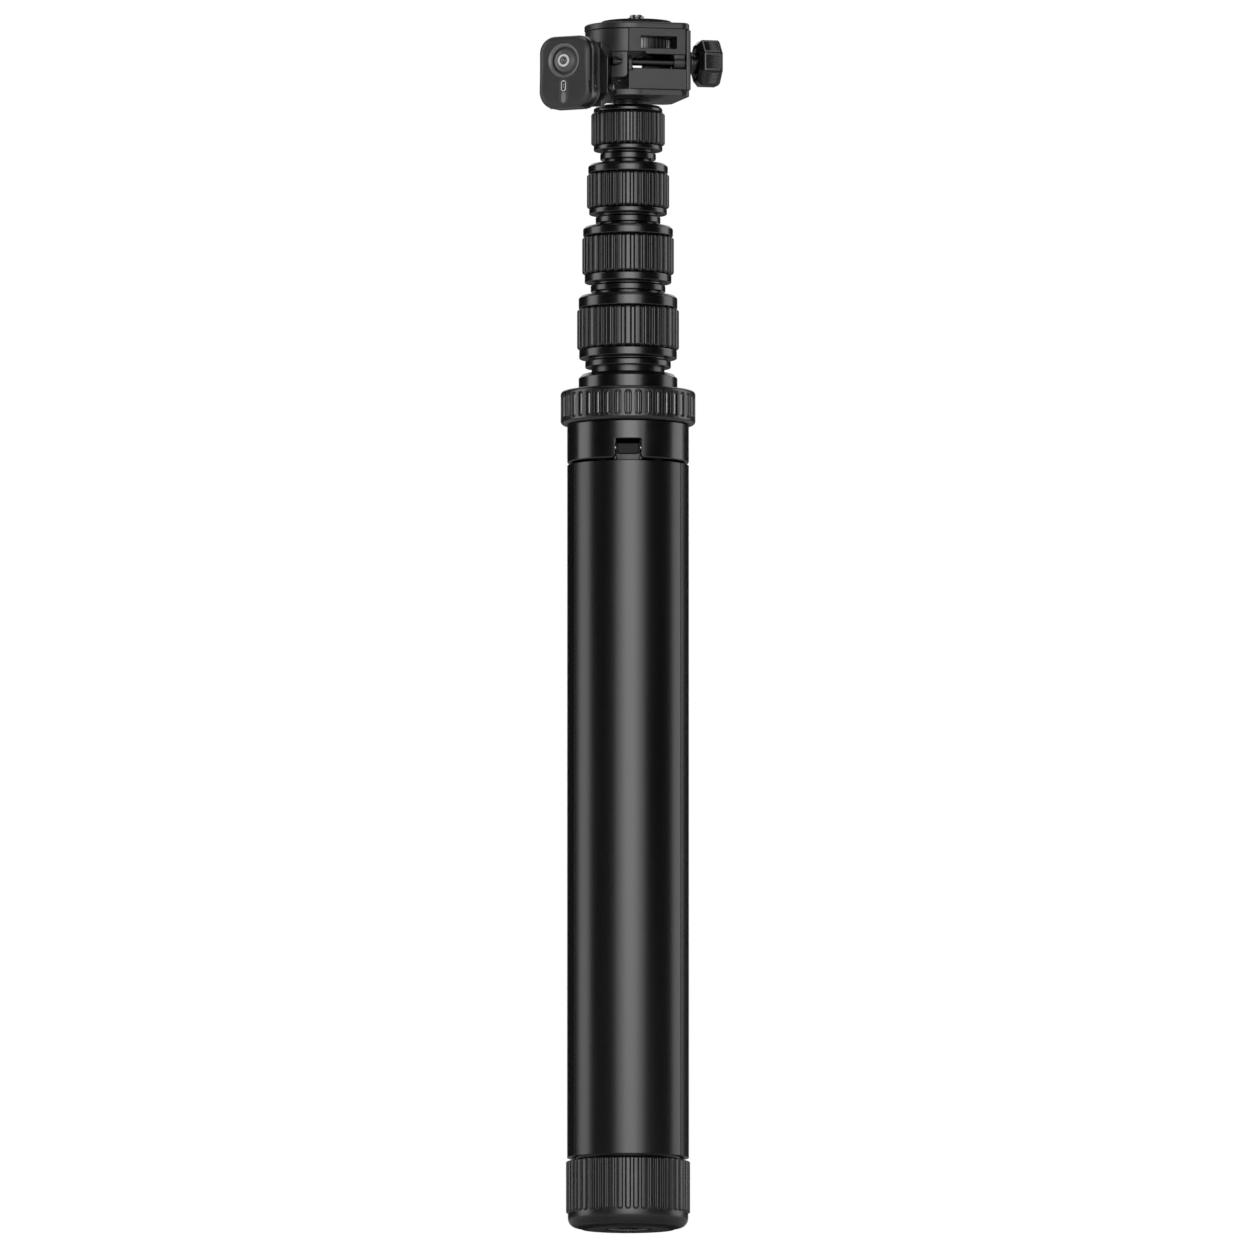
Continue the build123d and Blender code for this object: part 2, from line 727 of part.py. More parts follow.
def platform(at, yaw):
    """Top plate, its rubber pad, the camera screw and the wheel that turns it."""
    spigot_low = at.plate_low - plate_spigot_h
    plate_r = head_r + plate_proud
    plate = prism(head_plan(plate_r, at.cheek_out + flange_overhang, plate_r), at.plate_low, at.plate_high)
    plate = chamfer(plate.faces().sort_by(Axis.Z)[-1].edges(), plate_edge)
    plate += disc(wheel_r + wheel_play - fit, spigot_low, at.plate_low, screw_x)
    plate -= disc(screw_r + plate_hole_play, spigot_low, at.plate_high, screw_x)
    save("top_plate", yaw * plate)
    pad = disc(camera_pad_r, at.plate_high, at.pad_high, screw_x)
    pad = chamfer(pad.faces().sort_by(Axis.Z)[-1].edges(), camera_pad_edge)
    pad -= disc(screw_r + camera_pad_hole_play, at.plate_high, at.pad_high, screw_x)
    save("top_pad", yaw * pad)

    wheel_low = at.window_low + wheel_gap
    wheel_high = wheel_low + wheel_h
    wheel = ribbed(wheel_teeth, wheel_r - wheel_tooth_h, wheel_r, wheel_tooth_share, wheel_low, wheel_high)
    wheel = Pos(screw_x, 0, 0) * wheel - disc(screw_shank_r, wheel_low, wheel_high, screw_x)
    save("screw_wheel", yaw * wheel)
    thread = disc(screw_r, at.pad_high, at.pad_high + screw_proud, screw_x)
    thread = chamfer(thread.faces().sort_by(Axis.Z)[-1].edges(), screw_chamfer)
    shank = disc(screw_shank_r, wheel_low, at.pad_high, screw_x)
    save("camera_screw", yaw * (thread + shank))


def axle_and_knob(at, yaw):
    """The tilt axle, and the eight-sided knob that clamps the tilt."""
    axle_left = -sqrt(head_r ** 2 - axle_y ** 2) - axle_end
    axle_right = at.knob_face + axle_in_knob
    save("tilt_axle", yaw * rod_x(axle_r, axle_left, axle_right, axle_y, at.axle_z))
    octagon = RegularPolygon(knob_flats / 2, 8, major_radius=False, rotation=22.5)
    knob = extrude(octagon, knob_length)
    knob = chamfer(knob.faces().sort_by(Axis.Z)[-1].edges(), knob_chamfer)
    knob = chamfer(knob.faces().sort_by(Axis.Z)[0].edges(), knob_inner_chamfer)
    knob = Pos(at.knob_face, axle_y, at.axle_z) * Rot(0, 90, 0) * knob
    knob += rod_x(knob_stem_r, at.knob_in, at.knob_face, axle_y, at.axle_z)
    knob -= rod_x(axle_r + running, at.knob_in, axle_right + axle_end_play, axle_y, at.axle_z)
    save("tilt_knob", yaw * knob)


def tray(frame, lug_top):
    """The tray that the remote is pushed into, its shelf on the left lug, and its peg."""
    mid = -tray_drop
    plate_z = -tray_depth
    mouth_z = -remote_front_d - remote_back_d - tray_play
    inner_z = plate_z + tray_wall
    half = tray_h / 2
    half_mouth = tray_mouth_h / 2
    side = Plane(origin=(-tray_w / 2, 0, 0), x_dir=(0, 0, 1), z_dir=(1, 0, 0))
    profile = make_face(Polyline(
        (plate_z, -mid + half), (mouth_z, -mid + half_mouth),
        (mouth_z, -mid + half_mouth - tray_wall), (inner_z, -mid + half - tray_wall),
        (inner_z, -mid - half + tray_wall), (mouth_z, -mid - half_mouth + tray_wall),
        (mouth_z, -mid - half_mouth), (plate_z, -mid - half), close=True))
    shape = extrude(side * profile, tray_w)
    right = tray_w / 2
    shelf_top = remote_drop - shelf_drop
    shape += block(shelf_x, right - shelf_inset, shelf_top - shelf_h, shelf_top,
                   plate_z - shelf_reach, plate_z)
    peg_y = mid - peg_drop
    peg_z = plate_z + tray_wall / 2
    shape -= rod_x(peg_r + fit, right - peg_length, right + peg_out, peg_y, peg_z)
    save("remote_holder", frame.location * shape - disc(head_r + fit, 0, 2 * lug_top))
    peg = rod_x(peg_r, right - peg_length, right + peg_out, peg_y, peg_z)
    save("holder_peg", frame.location * peg)


def remote(frame):
    """The remote: two shells, the domed button, the board with its switch, and the cell."""
    back = -remote_front_d - remote_back_d
    inside_w = remote_w - 2 * remote_wall
    inside_h = remote_h - 2 * remote_wall
    inside_corner = remote_corner - remote_wall
    outline = RectangleRounded(remote_w, remote_h, remote_corner)
    shell = Pos(0, 0, -remote_front_d) * extrude(outline, remote_front_d)
    shell = chamfer(shell.faces().sort_by(Axis.Z)[-1].edges(), remote_round)
    hollow = RectangleRounded(inside_w, inside_h, inside_corner)
    shell -= Pos(0, 0, -remote_front_d) * extrude(hollow, remote_front_d - remote_wall)
    hole_r = button_r + button_gap
    bevel = Pos(0, button_y, -button_bevel / 2) * Cone(hole_r, hole_r + button_bevel, button_bevel)
    shell -= bevel + disc(hole_r, -remote_front_d, 0, 0, button_y)
    save("remote_front", frame.location * shell)

    button_low = button_proud - button_h
    board_top = button_low - button_travel - switch_gap - switch_h
    board_low = board_top - board_h
    cell_low = board_low - cell_h
    rear = Pos(0, 0, back) * extrude(outline, remote_back_d)
    rear = chamfer(rear.faces().sort_by(Axis.Z)[0].edges(), remote_back_round)
    rear += Pos(0, -tray_drop, back - foot_d) * extrude(
        RectangleRounded(foot_w, foot_h, foot_round), foot_d)
    rear -= disc(cell_r + fit, cell_low, -remote_front_d)
    save("remote_back", frame.location * rear)

    save("remote_cell", frame.location * disc(cell_r, cell_low, board_low))
    half_switch = switch_w / 2
    board = Pos(0, 0, board_low) * extrude(RectangleRounded(
        inside_w - 2 * fit, inside_h - 2 * fit, inside_corner), board_h)
    board += block(-half_switch, half_switch, button_y - half_switch, button_y + half_switch,
                   board_top, board_top + switch_h)
    save("remote_board", frame.location * board)

    sphere_r = (button_r ** 2 + button_dome ** 2) / (2 * button_dome)
    button = disc(button_r, button_low, button_proud, 0, button_y)
    button += disc(hole_r + button_flange, button_low, button_low + button_flange_h, 0, button_y)
    button &= Pos(0, button_y, button_proud - sphere_r) * Sphere(sphere_r)
    save("remote_button", frame.location * button)


def head(low):
    """Neck, yoke, tilting body, camera platform and clamp knob. Returns the left lug's top."""
    at = HeadLevels(low)
    yaw = Rot(0, 0, head_yaw)
    neck(at, low)
    yoke(at, yaw)
    tilting_body(at, yaw)
    platform(at, yaw)
    axle_and_knob(at, yaw)
    return at.lug_top


def remote_frame(lug_top):
    """The remote's frame: its origin in the middle of its face, z out of the face."""
    turn = radians(remote_turn)
    out = (-sin(turn), -cos(turn))
    right = (cos(turn), -sin(turn))
    reach = head_r + tray_off_head + tray_depth
    x = remote_u * right[0] + reach * out[0]
    y = remote_u * right[1] + reach * out[1]
    return Plane(origin=(x, y, lug_top - remote_drop), x_dir=(*right, 0), z_dir=(*out, 0))


base()
legs()
hub_collar()
column_lock()
lug_top = head(column())
remote_place = remote_frame(lug_top)
tray(remote_place, lug_top)
remote(remote_place)
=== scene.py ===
import json
from math import atan2, cos, hypot, pi, radians, sin, sqrt, tan

import bmesh
import bpy
from mathutils import Matrix, Vector

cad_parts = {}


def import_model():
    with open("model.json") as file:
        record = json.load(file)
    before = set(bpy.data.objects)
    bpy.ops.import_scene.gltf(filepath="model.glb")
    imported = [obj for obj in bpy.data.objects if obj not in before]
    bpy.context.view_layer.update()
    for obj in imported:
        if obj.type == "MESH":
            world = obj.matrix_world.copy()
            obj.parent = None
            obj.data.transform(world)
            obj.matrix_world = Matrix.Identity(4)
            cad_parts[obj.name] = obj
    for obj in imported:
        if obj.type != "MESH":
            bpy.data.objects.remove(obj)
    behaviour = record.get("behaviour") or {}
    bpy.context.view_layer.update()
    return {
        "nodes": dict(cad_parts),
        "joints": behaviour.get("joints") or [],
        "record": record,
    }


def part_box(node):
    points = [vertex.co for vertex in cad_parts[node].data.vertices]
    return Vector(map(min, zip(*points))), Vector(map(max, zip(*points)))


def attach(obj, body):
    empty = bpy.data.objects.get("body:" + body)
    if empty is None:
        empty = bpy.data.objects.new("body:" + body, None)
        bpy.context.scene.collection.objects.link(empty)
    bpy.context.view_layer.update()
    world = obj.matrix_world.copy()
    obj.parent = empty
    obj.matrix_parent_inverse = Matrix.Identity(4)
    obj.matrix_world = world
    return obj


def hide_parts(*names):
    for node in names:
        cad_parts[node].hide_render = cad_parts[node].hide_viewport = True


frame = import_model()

MM = 0.001
UP = Vector((0, 0, 1))
NODES = frame["nodes"]
RECORD = frame["record"]
BODY_OF = {node: body for body, nodes in RECORD["behaviour"]["bodies"].items() for node in nodes}
SLOT_OF = {part["node"]: part["material_slot"] for part in RECORD["subparts"]}
JOINTS = {joint["name"]: joint for joint in frame["joints"]}
LOCKS = (1, 2, 3, 4)
LEGS = (1, 2, 3)

# Sizes are in millimetres, but for the stage, lights and camera, which are in metres

# Turned pieces
lathe_steps = 144
corner_steps = 4
nearly_straight = radians(85)
merge_distance = 0.0001
plain_round = 0.35
nut_round = 0.65
collar_round = 0.5
groove_tall = 1.0
groove_deep = 1.1

# Softened CAD nodes: how close points are joined, the angles under or over which edges are
# dissolved, bevelled and kept sharp, and each node's width of bevel
weld_distance = 0.001
flat_limit = radians(0.2)
bevel_limit = radians(32)
sharp_limit = radians(50)
soft_widths = {"head_yoke": 0.3, "tilt_body": 0.3, "top_plate": 0.2, "left_lug": 0.35,
               "remote_holder": 0.5, "remote_back": 0.3, "hub_collar": 0.3, "top_pad": 0.2,
               "holder_peg": 0.2, "tilt_axle": 0.2}
soft_widths.update({f"leg_shell_{number}": 0.12 for number in LEGS})
soft_widths.update({f"leg_hinge_{number}": 0.25 for number in LEGS})

# Grips of the twist locks
grip_ribs = 32
grip_rib_share = 0.34
grip_rib_edge = 0.26
grip_rib_corner = 0.5
grip_rib_depth = 0.85
grip_end_slope = 0.9
grip_end_drop = 0.55

# Lock ring of the column, with widths as shares of its pitch
ring_slots = 40
ring_slot_share = 0.33
ring_slot_depth = 1.3
ring_slot_end = 1.7
ring_slot_edge = 0.22
ring_bar_share = 0.155
ring_bar_rise = 1.0
ring_bar_gap = 0.35
ring_edge_round = 1.5

# Base cap: ribs outside, and inside them a core with a seat for its screw and a socket for the column
cap_ribs = 48
cap_rib_share = 0.33
cap_rib_edge = 0.24
cap_rib_corner = 0.75
cap_rib_low = 6.2
cap_rib_end = 26.1
cap_root_r = 23.05
cap_rim = 3.7
core_r = 19.25
core_low = 2.7
core_high = 25.9
cone_r = 20.55
cone_low = 26.0
cone_top_r = 16.45
socket_r = 14.05
socket_floor = 10.0
screw_r = 2.51
screw_head_r = 3.85
screw_seat = 8.0

# Underside of the foot, from its hole outwards
foot_gap = 0.7
foot_spokes = 24
foot_recess = 0.35
spoke_depth = 0.55
star_r = 7.6
foot_groove_r = 8.5
field_r = 9.2
field_margin = 2.2
field_fade = 0.6
field_depth = 0.22
foot_edge = 0.6
foot_edge_drop = 0.5

# Camera screw
thread_pitch = 1.27
thread_depth = 0.75
crest_share = 0.12
flank_share = 0.76

# Tongue of the leg hinges: the height above which its facet is painted darker, as painted shade
tongue_shade_low = 295.8

# Knob, about the tilt axle
knob_flats = 17.5
knob_length = 9.0
knob_end_in = 0.3
knob_chamfer = 0.8
knob_inner_chamfer = 1.9
knob_ridges = 8
ridge_depth = 0.26
ridge_margin = 0.4
ridge_fade = 0.35
stem_bore_r = 1.56
stem_r = 3.9
stem_collar_r = 4.4
stem_collar_tall = 0.7
stem_shoulder = 0.9
stem_overlap = 0.3
stem_round = 0.15

# Remote, in its own frame: x to its right, y up, z out of its face
remote_w = 23.0
remote_h = 28.0
remote_corner = 6.5
remote_depth = 6.5
remote_edge = 3.15
remote_wall = 1.5
button_y = 4.3
button_r = 4.4
button_gap = 0.9
dish_w = 1.3
dish_depth = 0.95


# Making pieces

def linked(name, data):
    """An object in the scene that shows this data."""
    obj = bpy.data.objects.new(name, data)
    bpy.context.scene.collection.objects.link(obj)
    return obj


def new_object(name, verts, faces):
    """A mesh object from points in millimetres, smooth but for its many-sided caps."""
    mesh = bpy.data.meshes.new(name)
    mesh.from_pydata([tuple(c * MM for c in v) for v in verts], [], faces)
    bm = bmesh.new()
    bm.from_mesh(mesh)
    bmesh.ops.remove_doubles(bm, verts=bm.verts, dist=merge_distance * MM)
    bmesh.ops.recalc_face_normals(bm, faces=bm.faces)
    for face in bm.faces:
        is_cap = len(face.verts) > 4
        face.smooth = not is_cap
        if is_cap:
            for edge in face.edges:
                edge.smooth = False
    bm.to_mesh(mesh)
    bm.free()
    return linked(name, mesh)


def wrapped_faces(columns, rows):
    """The quads of a ring of columns, each of which is a closed outline with this many points."""
    return [(i * rows + j, (i + 1) % columns * rows + j,
             (i + 1) % columns * rows + (j + 1) % rows, i * rows + (j + 1) % rows)
            for i in range(columns) for j in range(rows)]


def stacked_faces(rings, points):
    """The quads between rings of points that follow each other along an axis."""
    return [(j * points + i, j * points + (i + 1) % points,
             (j + 1) * points + (i + 1) % points, (j + 1) * points + i)
            for j in range(rings - 1) for i in range(points)]


def cap_face(ring, points):
    """The face that closes a stack at one of its rings."""
    return tuple(ring * points + i for i in range(points))


def move_mesh(obj, place):
    """Moves a piece's mesh by a matrix in millimetres."""
    obj.data.transform(Matrix.Scale(MM, 4) @ place @ Matrix.Scale(1 / MM, 4))


def weighted(obj):
    """Keeps flat faces flat beside rounded edges."""
    modifier = obj.modifiers.new("weighted_normals", "WEIGHTED_NORMAL")
    modifier.keep_sharp = True
    modifier.weight = 50


def stands_for(obj, node):
    """The piece takes the place, body and finish of a CAD node."""
    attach(obj, BODY_OF[node])
    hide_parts(node)
    obj.data.materials.append(finishes[SLOT_OF[node]])


def added(obj, body, slot, look=None):
    """An extra piece that rides on a body, with its slot's finish or another one."""
    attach(obj, body)
    obj.data.materials.append(finishes[look or slot])


def paint(obj, names, choose):
    """Gives some faces further finishes.

    choose gets a face's middle and normal, and gives 0 to keep its finish or a count from 1 in the names.
    """
    for name in names:
        obj.data.materials.append(finishes[name])
    for face in obj.data.polygons:
        face.material_index = choose(face.center / MM, face.normal)


def span(node):
    """A round node's low end, high end and radius, in millimetres."""
    low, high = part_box(node)
    return low.z / MM, high.z / MM, high.x / MM


# Turned pieces

def outline_of(node):
    """The (radius, height) corners of a turned CAD node in order, in millimetres."""
    mesh = NODES[node].data
    spots = [(round(hypot(v.co.x, v.co.y) / MM, 2), round(v.co.z / MM, 2)) for v in mesh.vertices]
    links = {}
    for edge in mesh.edges:
        a, b = (spots[i] for i in edge.vertices)
        if a != b:
            links.setdefault(a, set()).add(b)
            links.setdefault(b, set()).add(a)
    walk = [min(links)]
    while len(walk) < len(links):
        onward = [spot for spot in sorted(links[walk[-1]]) if spot not in walk]
        if not onward:
            break
        walk.append(onward[0])
    area = sum(a[0] * b[1] - b[0] * a[1] for a, b in zip(walk, walk[1:] + walk[:1]))
    return walk if area > 0 else walk[::-1]


def rounded(outline, radius):
    """The outline with its corners turned into arcs, each as large as its sides allow."""
    side_share = 0.45
    points = []
    for i, corner in enumerate(outline):
        here = Vector(corner)
        back = Vector(outline[i - 1]) - here
        ahead = Vector(outline[(i + 1) % len(outline)]) - here
        half = back.angle(ahead) / 2
        if half > nearly_straight:
            points.append(corner)
            continue
        reach = min(radius / tan(half), side_share * back.length, side_share * ahead.length)
        start = here + back.normalized() * reach
        end = here + ahead.normalized() * reach
        for k in range(corner_steps + 1):
            t = k / corner_steps
            p = start * (1 - t) ** 2 + here * 2 * t * (1 - t) + end * t * t
            points.append((p.x, p.y))
    return points


def polar(r, turn):
    """The x and y of a place at this radius, turn counted in whole turns."""
    return r * cos(2 * pi * turn), r * sin(2 * pi * turn)


def lathe(name, outline, steps=lathe_steps):
    """A closed solid turned about the pole axis from a closed (radius, height) outline."""
    verts = [(*polar(r, i / steps), z) for i in range(steps) for r, z in outline]
    return new_object(name, verts, wrapped_faces(steps, len(outline)))


def turned_again(node, outline, radius):
    """A turned node made again from an outline, with its corners rounded."""
    obj = lathe(node + "_rounded", rounded(outline, radius))
    weighted(obj)
    stands_for(obj, node)


def lock_base(number):
    """The fixed collar of a twist lock, with a groove between it and the band above."""
    node = f"lock_base_{number}"
    outline = outline_of(node)
    grooved = []
    for i, (r, z) in enumerate(outline):
        (before_r, before_z), (after_r, after_z) = outline[i - 1], outline[(i + 1) % len(outline)]
        meets_band = before_r == r and before_z < z and after_z == z and after_r > r
        if meets_band:
            grooved += [(r, z - groove_tall), (r - groove_deep, z - groove_tall), (r - groove_deep, z)]
        else:
            grooved.append((r, z))
    turned_again(node, grooved, collar_round)


def soften(node, width):
    """A CAD node with its sharp edges rounded by modifiers."""
    obj = NODES[node]
    weld = obj.modifiers.new("weld", "WELD")
    weld.merge_threshold = weld_distance * MM
    flat = obj.modifiers.new("flat", "DECIMATE")
    flat.decimate_type = "DISSOLVE"
    flat.angle_limit = flat_limit
    bevel = obj.modifiers.new("edges", "BEVEL")
    bevel.width = width * MM
    bevel.segments = 2
    bevel.limit_method = "ANGLE"
    bevel.angle_limit = bevel_limit
    bevel.use_clamp_overlap = False
    bevel.miter_outer = "MITER_ARC"
    smooth = obj.modifiers.new("smooth", "NODES")
    smooth.node_group = smooth_shading
    weighted(obj)


def make_smooth_shading():
    """Shades every face smooth and keeps the edges over a limit sharp."""
    group = bpy.data.node_groups.new("smooth_shading", "GeometryNodeTree")
    for in_out in ("INPUT", "OUTPUT"):
        group.interface.new_socket("Geometry", in_out=in_out, socket_type="NodeSocketGeometry")
    start = group.nodes.new("NodeGroupInput")
    end = group.nodes.new("NodeGroupOutput")
    faces = group.nodes.new("GeometryNodeSetShadeSmooth")
    faces.domain = "FACE"
    edges = group.nodes.new("GeometryNodeSetShadeSmooth")
    edges.domain = "EDGE"
    edges.inputs["Shade Smooth"].default_value = False
    angle = group.nodes.new("GeometryNodeInputMeshEdgeAngle")
    over = group.nodes.new("FunctionNodeCompare")
    over.data_type = "FLOAT"
    over.operation = "GREATER_THAN"
    over.inputs[1].default_value = sharp_limit
    group.links.new(start.outputs[0], faces.inputs["Geometry"])
    group.links.new(faces.outputs[0], edges.inputs["Geometry"])
    group.links.new(angle.outputs["Unsigned Angle"], over.inputs[0])
    group.links.new(over.outputs[0], edges.inputs["Selection"])
    group.links.new(edges.outputs[0], end.inputs[0])
    return group


# Patterned rings

def smoothstep(low, high, x):
    """From 0 to 1, with soft ends, as x goes from low to high."""
    t = min(1.0, max(0.0, (x - low) / (high - low)))
    return t * t * (3 - 2 * t)


def patterned(name, count, shares, column_at):
    """A ring that repeats round the pole axis.

    shares are places across one pitch, from -0.5 to 0.5, and column_at gives the closed
    (radius, height) outline at a share.
    """
    turns = [(i + share) / count for i in range(count) for share in shares]
    columns = [column_at(share) for share in shares] * count
    verts = [(*polar(r, turn), z) for turn, column in zip(turns, columns) for r, z in column]
    return new_object(name, verts, wrapped_faces(len(turns), len(columns[0])))


def patterned_wall(name, count, shares, heights, inner_r, radius_at):
    """A ring with a plain bore, whose outer wall's radius comes from the share and the height."""
    def column_at(share):
        wall = [(radius_at(share, z), z) for z in heights]
        return [(inner_r, heights[0])] + wall + [(inner_r, heights[-1])]

    return patterned(name, count, shares, column_at)


def mirrored(right):
    """Shares across one pitch: those on its right half, their mirror images, its middle and its end."""
    return sorted({0.0, 0.5} | set(right) | {-share for share in right})


def rib_shares(half_share, edge_share):
    """Shares across one pitch, close together at a rib's two sides."""
    edge_steps = 4
    side = [half_share - edge_share * k / edge_steps for k in range(edge_steps + 1)]
    return mirrored([(0.5 + half_share) / 2, *side, (half_share - edge_share) / 2])


def rib_height(u, v, half_w, half_h, corner, edge):
    """From 0 beside a round-ended rib to 1 on its top, u and v from the rib's centre."""
    across = max(abs(u) - (half_w - corner), 0)
    along = max(abs(v) - (half_h - corner), 0)
    return 1 - smoothstep(-edge, 0, hypot(across, along) - corner)


def spread(low, high, fine, steps):
    """Places from low to high, close together over a length at each end."""
    middle_steps = 4
    ends = [fine * k / steps for k in range(steps + 1)]
    coarse = (high - low - 2 * fine) / middle_steps
    inside = [low + fine + coarse * k for k in range(1, middle_steps)]
    return [low + e for e in ends] + inside + [high - e for e in reversed(ends)]


def ribbed_grip(number):
    """The rubber sleeve of a twist lock, with flat ribs whose ends are rounded off."""
    node = f"lock_grip_{number}"
    low, high, tip = span(node)
    bore_margin = 1
    inner = min(r for r, z in outline_of(f"lock_nut_{number}")) + bore_margin
    pitch = 2 * pi * tip / grip_ribs
    middle = (low + high) / 2
    tall = (high - low) / 2

    def radius_at(share, z):
        rib = rib_height(share * pitch, z - middle, grip_rib_share * pitch, tall, grip_rib_corner,
                         grip_rib_edge)
        drop = smoothstep(grip_end_slope, 0, min(z - low, high - z)) * grip_end_drop
        return tip - grip_rib_depth * (1 - rib) - drop

    shares = rib_shares(grip_rib_share, grip_rib_edge / pitch)
    heights = spread(low, high, fine=1.3, steps=7)
    obj = patterned_wall(f"ribbed_grip_{number}", grip_ribs, shares, heights, inner, radius_at)
    stands_for(obj, node)


def lock_ring():
    """The big ring that clamps the column: round-ended slots, each with a half-round bar."""
    node = "column_lock_ring"
    low, high, tip = span(node)
    bore_margin = 0.6
    inner = min(hypot(v.co.x, v.co.y) for v in NODES[node].data.vertices) / MM + bore_margin
    pitch = 2 * pi * tip / ring_slots
    slot_half = ring_slot_share * pitch
    bar_half = ring_bar_share * pitch
    middle = (low + high) / 2
    tall = (high - low) / 2
    slot_tall = tall - ring_slot_end
    wall_margin = 0.3
    bar_margin = 0.05
    row_step = 0.28

    def radius_at(share, z):
        u = share * pitch
        v = z - middle
        into_round = max(0, ring_edge_round - (tall - abs(v)))
        barrel = tip - ring_edge_round + sqrt(max(0, ring_edge_round ** 2 - into_round ** 2))
        slot = rib_height(u, v, slot_half, slot_tall, slot_half, ring_slot_edge)
        bar_along = max(abs(v) - (slot_tall - ring_bar_gap - bar_half), 0)
        bar = sqrt(max(0, 1 - (u * u + bar_along ** 2) / bar_half ** 2))
        return barrel - (ring_slot_depth - ring_bar_rise * bar) * slot

    def on_bar(spot, normal):
        share = (atan2(spot.y, spot.x) / (2 * pi) * ring_slots + 0.5) % 1 - 0.5
        across = abs(share) * pitch < bar_half
        along = abs(spot.z - middle) < slot_tall - ring_bar_gap - bar_margin
        outside = hypot(spot.x, spot.y) > tip - ring_slot_depth - wall_margin
        return int(across and along and outside)

    bar_shares = (0.05, 0.09, 0.12, 0.14, 0.15, 0.157)
    slot_shares = (0.19, 0.22, 0.26, 0.275, 0.295, 0.315, 0.335, 0.38, 0.45)
    round_rows = [ring_edge_round * (1 - cos(pi / 2 * k / 6)) for k in range(7)]
    slot_rows = [ring_slot_end + row_step * k for k in range(9)]
    rows = round_rows + slot_rows
    heights = [low + row for row in rows] + [middle] + [high - row for row in reversed(rows)]
    obj = patterned_wall("slotted_ring", ring_slots, mirrored(bar_shares + slot_shares), heights, inner,
                         radius_at)
    stands_for(obj, node)
    paint(obj, ["bar_metal"], on_bar)


# Base

def base_cap():
    """The end cap: a rounded rim below, round-ended ribs above, and a core inside."""
    node = "base_cap"
    low, high, tip = span(node)
    pitch = 2 * pi * tip / cap_ribs
    middle = (cap_rib_low + cap_rib_end) / 2
    tall = (cap_rib_end - cap_rib_low) / 2
    top_slope = 0.4
    top_drop = 0.3
    core_overlap = 0.05

    def radius_at(share, z):
        if z < low + cap_rim:
            return cap_root_r - cap_rim + sqrt(max(0, cap_rim ** 2 - (low + cap_rim - z) ** 2))
        rib = rib_height(share * pitch, z - middle, cap_rib_share * pitch, tall, cap_rib_corner,
                         cap_rib_edge)
        top = smoothstep(cap_rib_end - top_slope, cap_rib_end, z) * top_drop
        return cap_root_r + (tip - cap_root_r) * rib - top

    rim_rows = [low + cap_rim * (1 - cos(pi / 2 * k / 8)) for k in range(9)]
    heights = rim_rows + [cap_rib_low - 0.8, cap_rib_low - 0.2]
    heights += spread(cap_rib_low, cap_rib_end, fine=1.4, steps=7)
    shares = rib_shares(cap_rib_share, cap_rib_edge / pitch)
    wall = patterned_wall("cap_wall", cap_ribs, shares, heights, core_r - core_overlap, radius_at)
    core = lathe("cap_core", [
        (screw_head_r, core_low), (core_r, core_low), (core_r, core_high), (cone_r, cone_low),
        (cone_top_r, high), (socket_r, high), (socket_r, socket_floor), (screw_r, socket_floor),
        (screw_r, screw_seat), (screw_head_r, screw_seat)])
    both = bmesh.new()
    for part in (wall, core):
        both.from_mesh(part.data)
        bpy.data.objects.remove(part)
    mesh = bpy.data.meshes.new("ribbed_cap")
    both.to_mesh(mesh)
    both.free()
    stands_for(linked("ribbed_cap", mesh), node)


def foot_disc():
    """The rubber foot. Its underside has a star of spokes round the hole, a groove and a finer field."""
    node = "base_foot_pad"
    low, high, reach = span(node)
    hole = screw_head_r
    outer = reach - foot_gap
    field_end = outer - field_margin
    hole_fade = 0.5
    star_fade = star_r - 0.3
    star_end = star_r + 0.2
    lip_w = 0.4
    groove_half = 0.15
    groove_reach = 0.45
    # Shares across one pitch between which a spoke's side and a rib's side in the field slope
    spoke_side = (0.16, 0.22)
    rib_side = (0.3, 0.42)

    def height_at(share, r):
        if r < star_end:
            deep = smoothstep(*spoke_side, abs(share)) * smoothstep(hole, hole + hole_fade, r)
            deep *= 1 - smoothstep(star_fade, star_end, r)
            return low + foot_recess + spoke_depth * deep
        groove = 1 - smoothstep(groove_half, groove_reach, abs(r - foot_groove_r))
        lip = 1 - smoothstep(star_r, star_r + lip_w, r)
        faint = smoothstep(*rib_side, abs(share)) * smoothstep(field_r, field_r + field_fade, r)
        faint *= 1 - smoothstep(field_end, field_end + field_fade, r)
        rim = smoothstep(outer - foot_edge, outer, r) * foot_edge_drop
        return low + foot_recess * max(groove, lip) + field_depth * faint + rim

    def column_at(share):
        return [(hole, high)] + [(r, height_at(share, r)) for r in radii] + [(outer, high)]

    def look_at(spot, normal):
        r = hypot(spot.x, spot.y)
        on_top = spot.z < low + 0.5
        if on_top and hole + 0.2 < r < star_r + 0.1:
            return 1
        return 2 if on_top and field_r < r < field_end else 0

    shares = mirrored((0.08, *spoke_side, *rib_side, 0.36, 0.46))
    radii = [hole, hole + 0.25, hole + 0.55, 5.5, 6.6, star_fade, star_r, star_end]
    radii += [foot_groove_r + d for d in (-groove_reach, -groove_half, groove_half, groove_reach)]
    radii += [field_r, field_r + field_fade / 2, field_r + field_fade, 12, 14.5]
    radii += [field_end, field_end + field_fade / 2, field_end + field_fade]
    radii += [outer - foot_edge, outer - foot_edge * 2 / 3, outer - foot_edge / 3, outer]
    obj = patterned("foot_disc", foot_spokes, shares, column_at)
    stands_for(obj, node)
    paint(obj, ["star_grey", "foot_grey"], look_at)


# Head

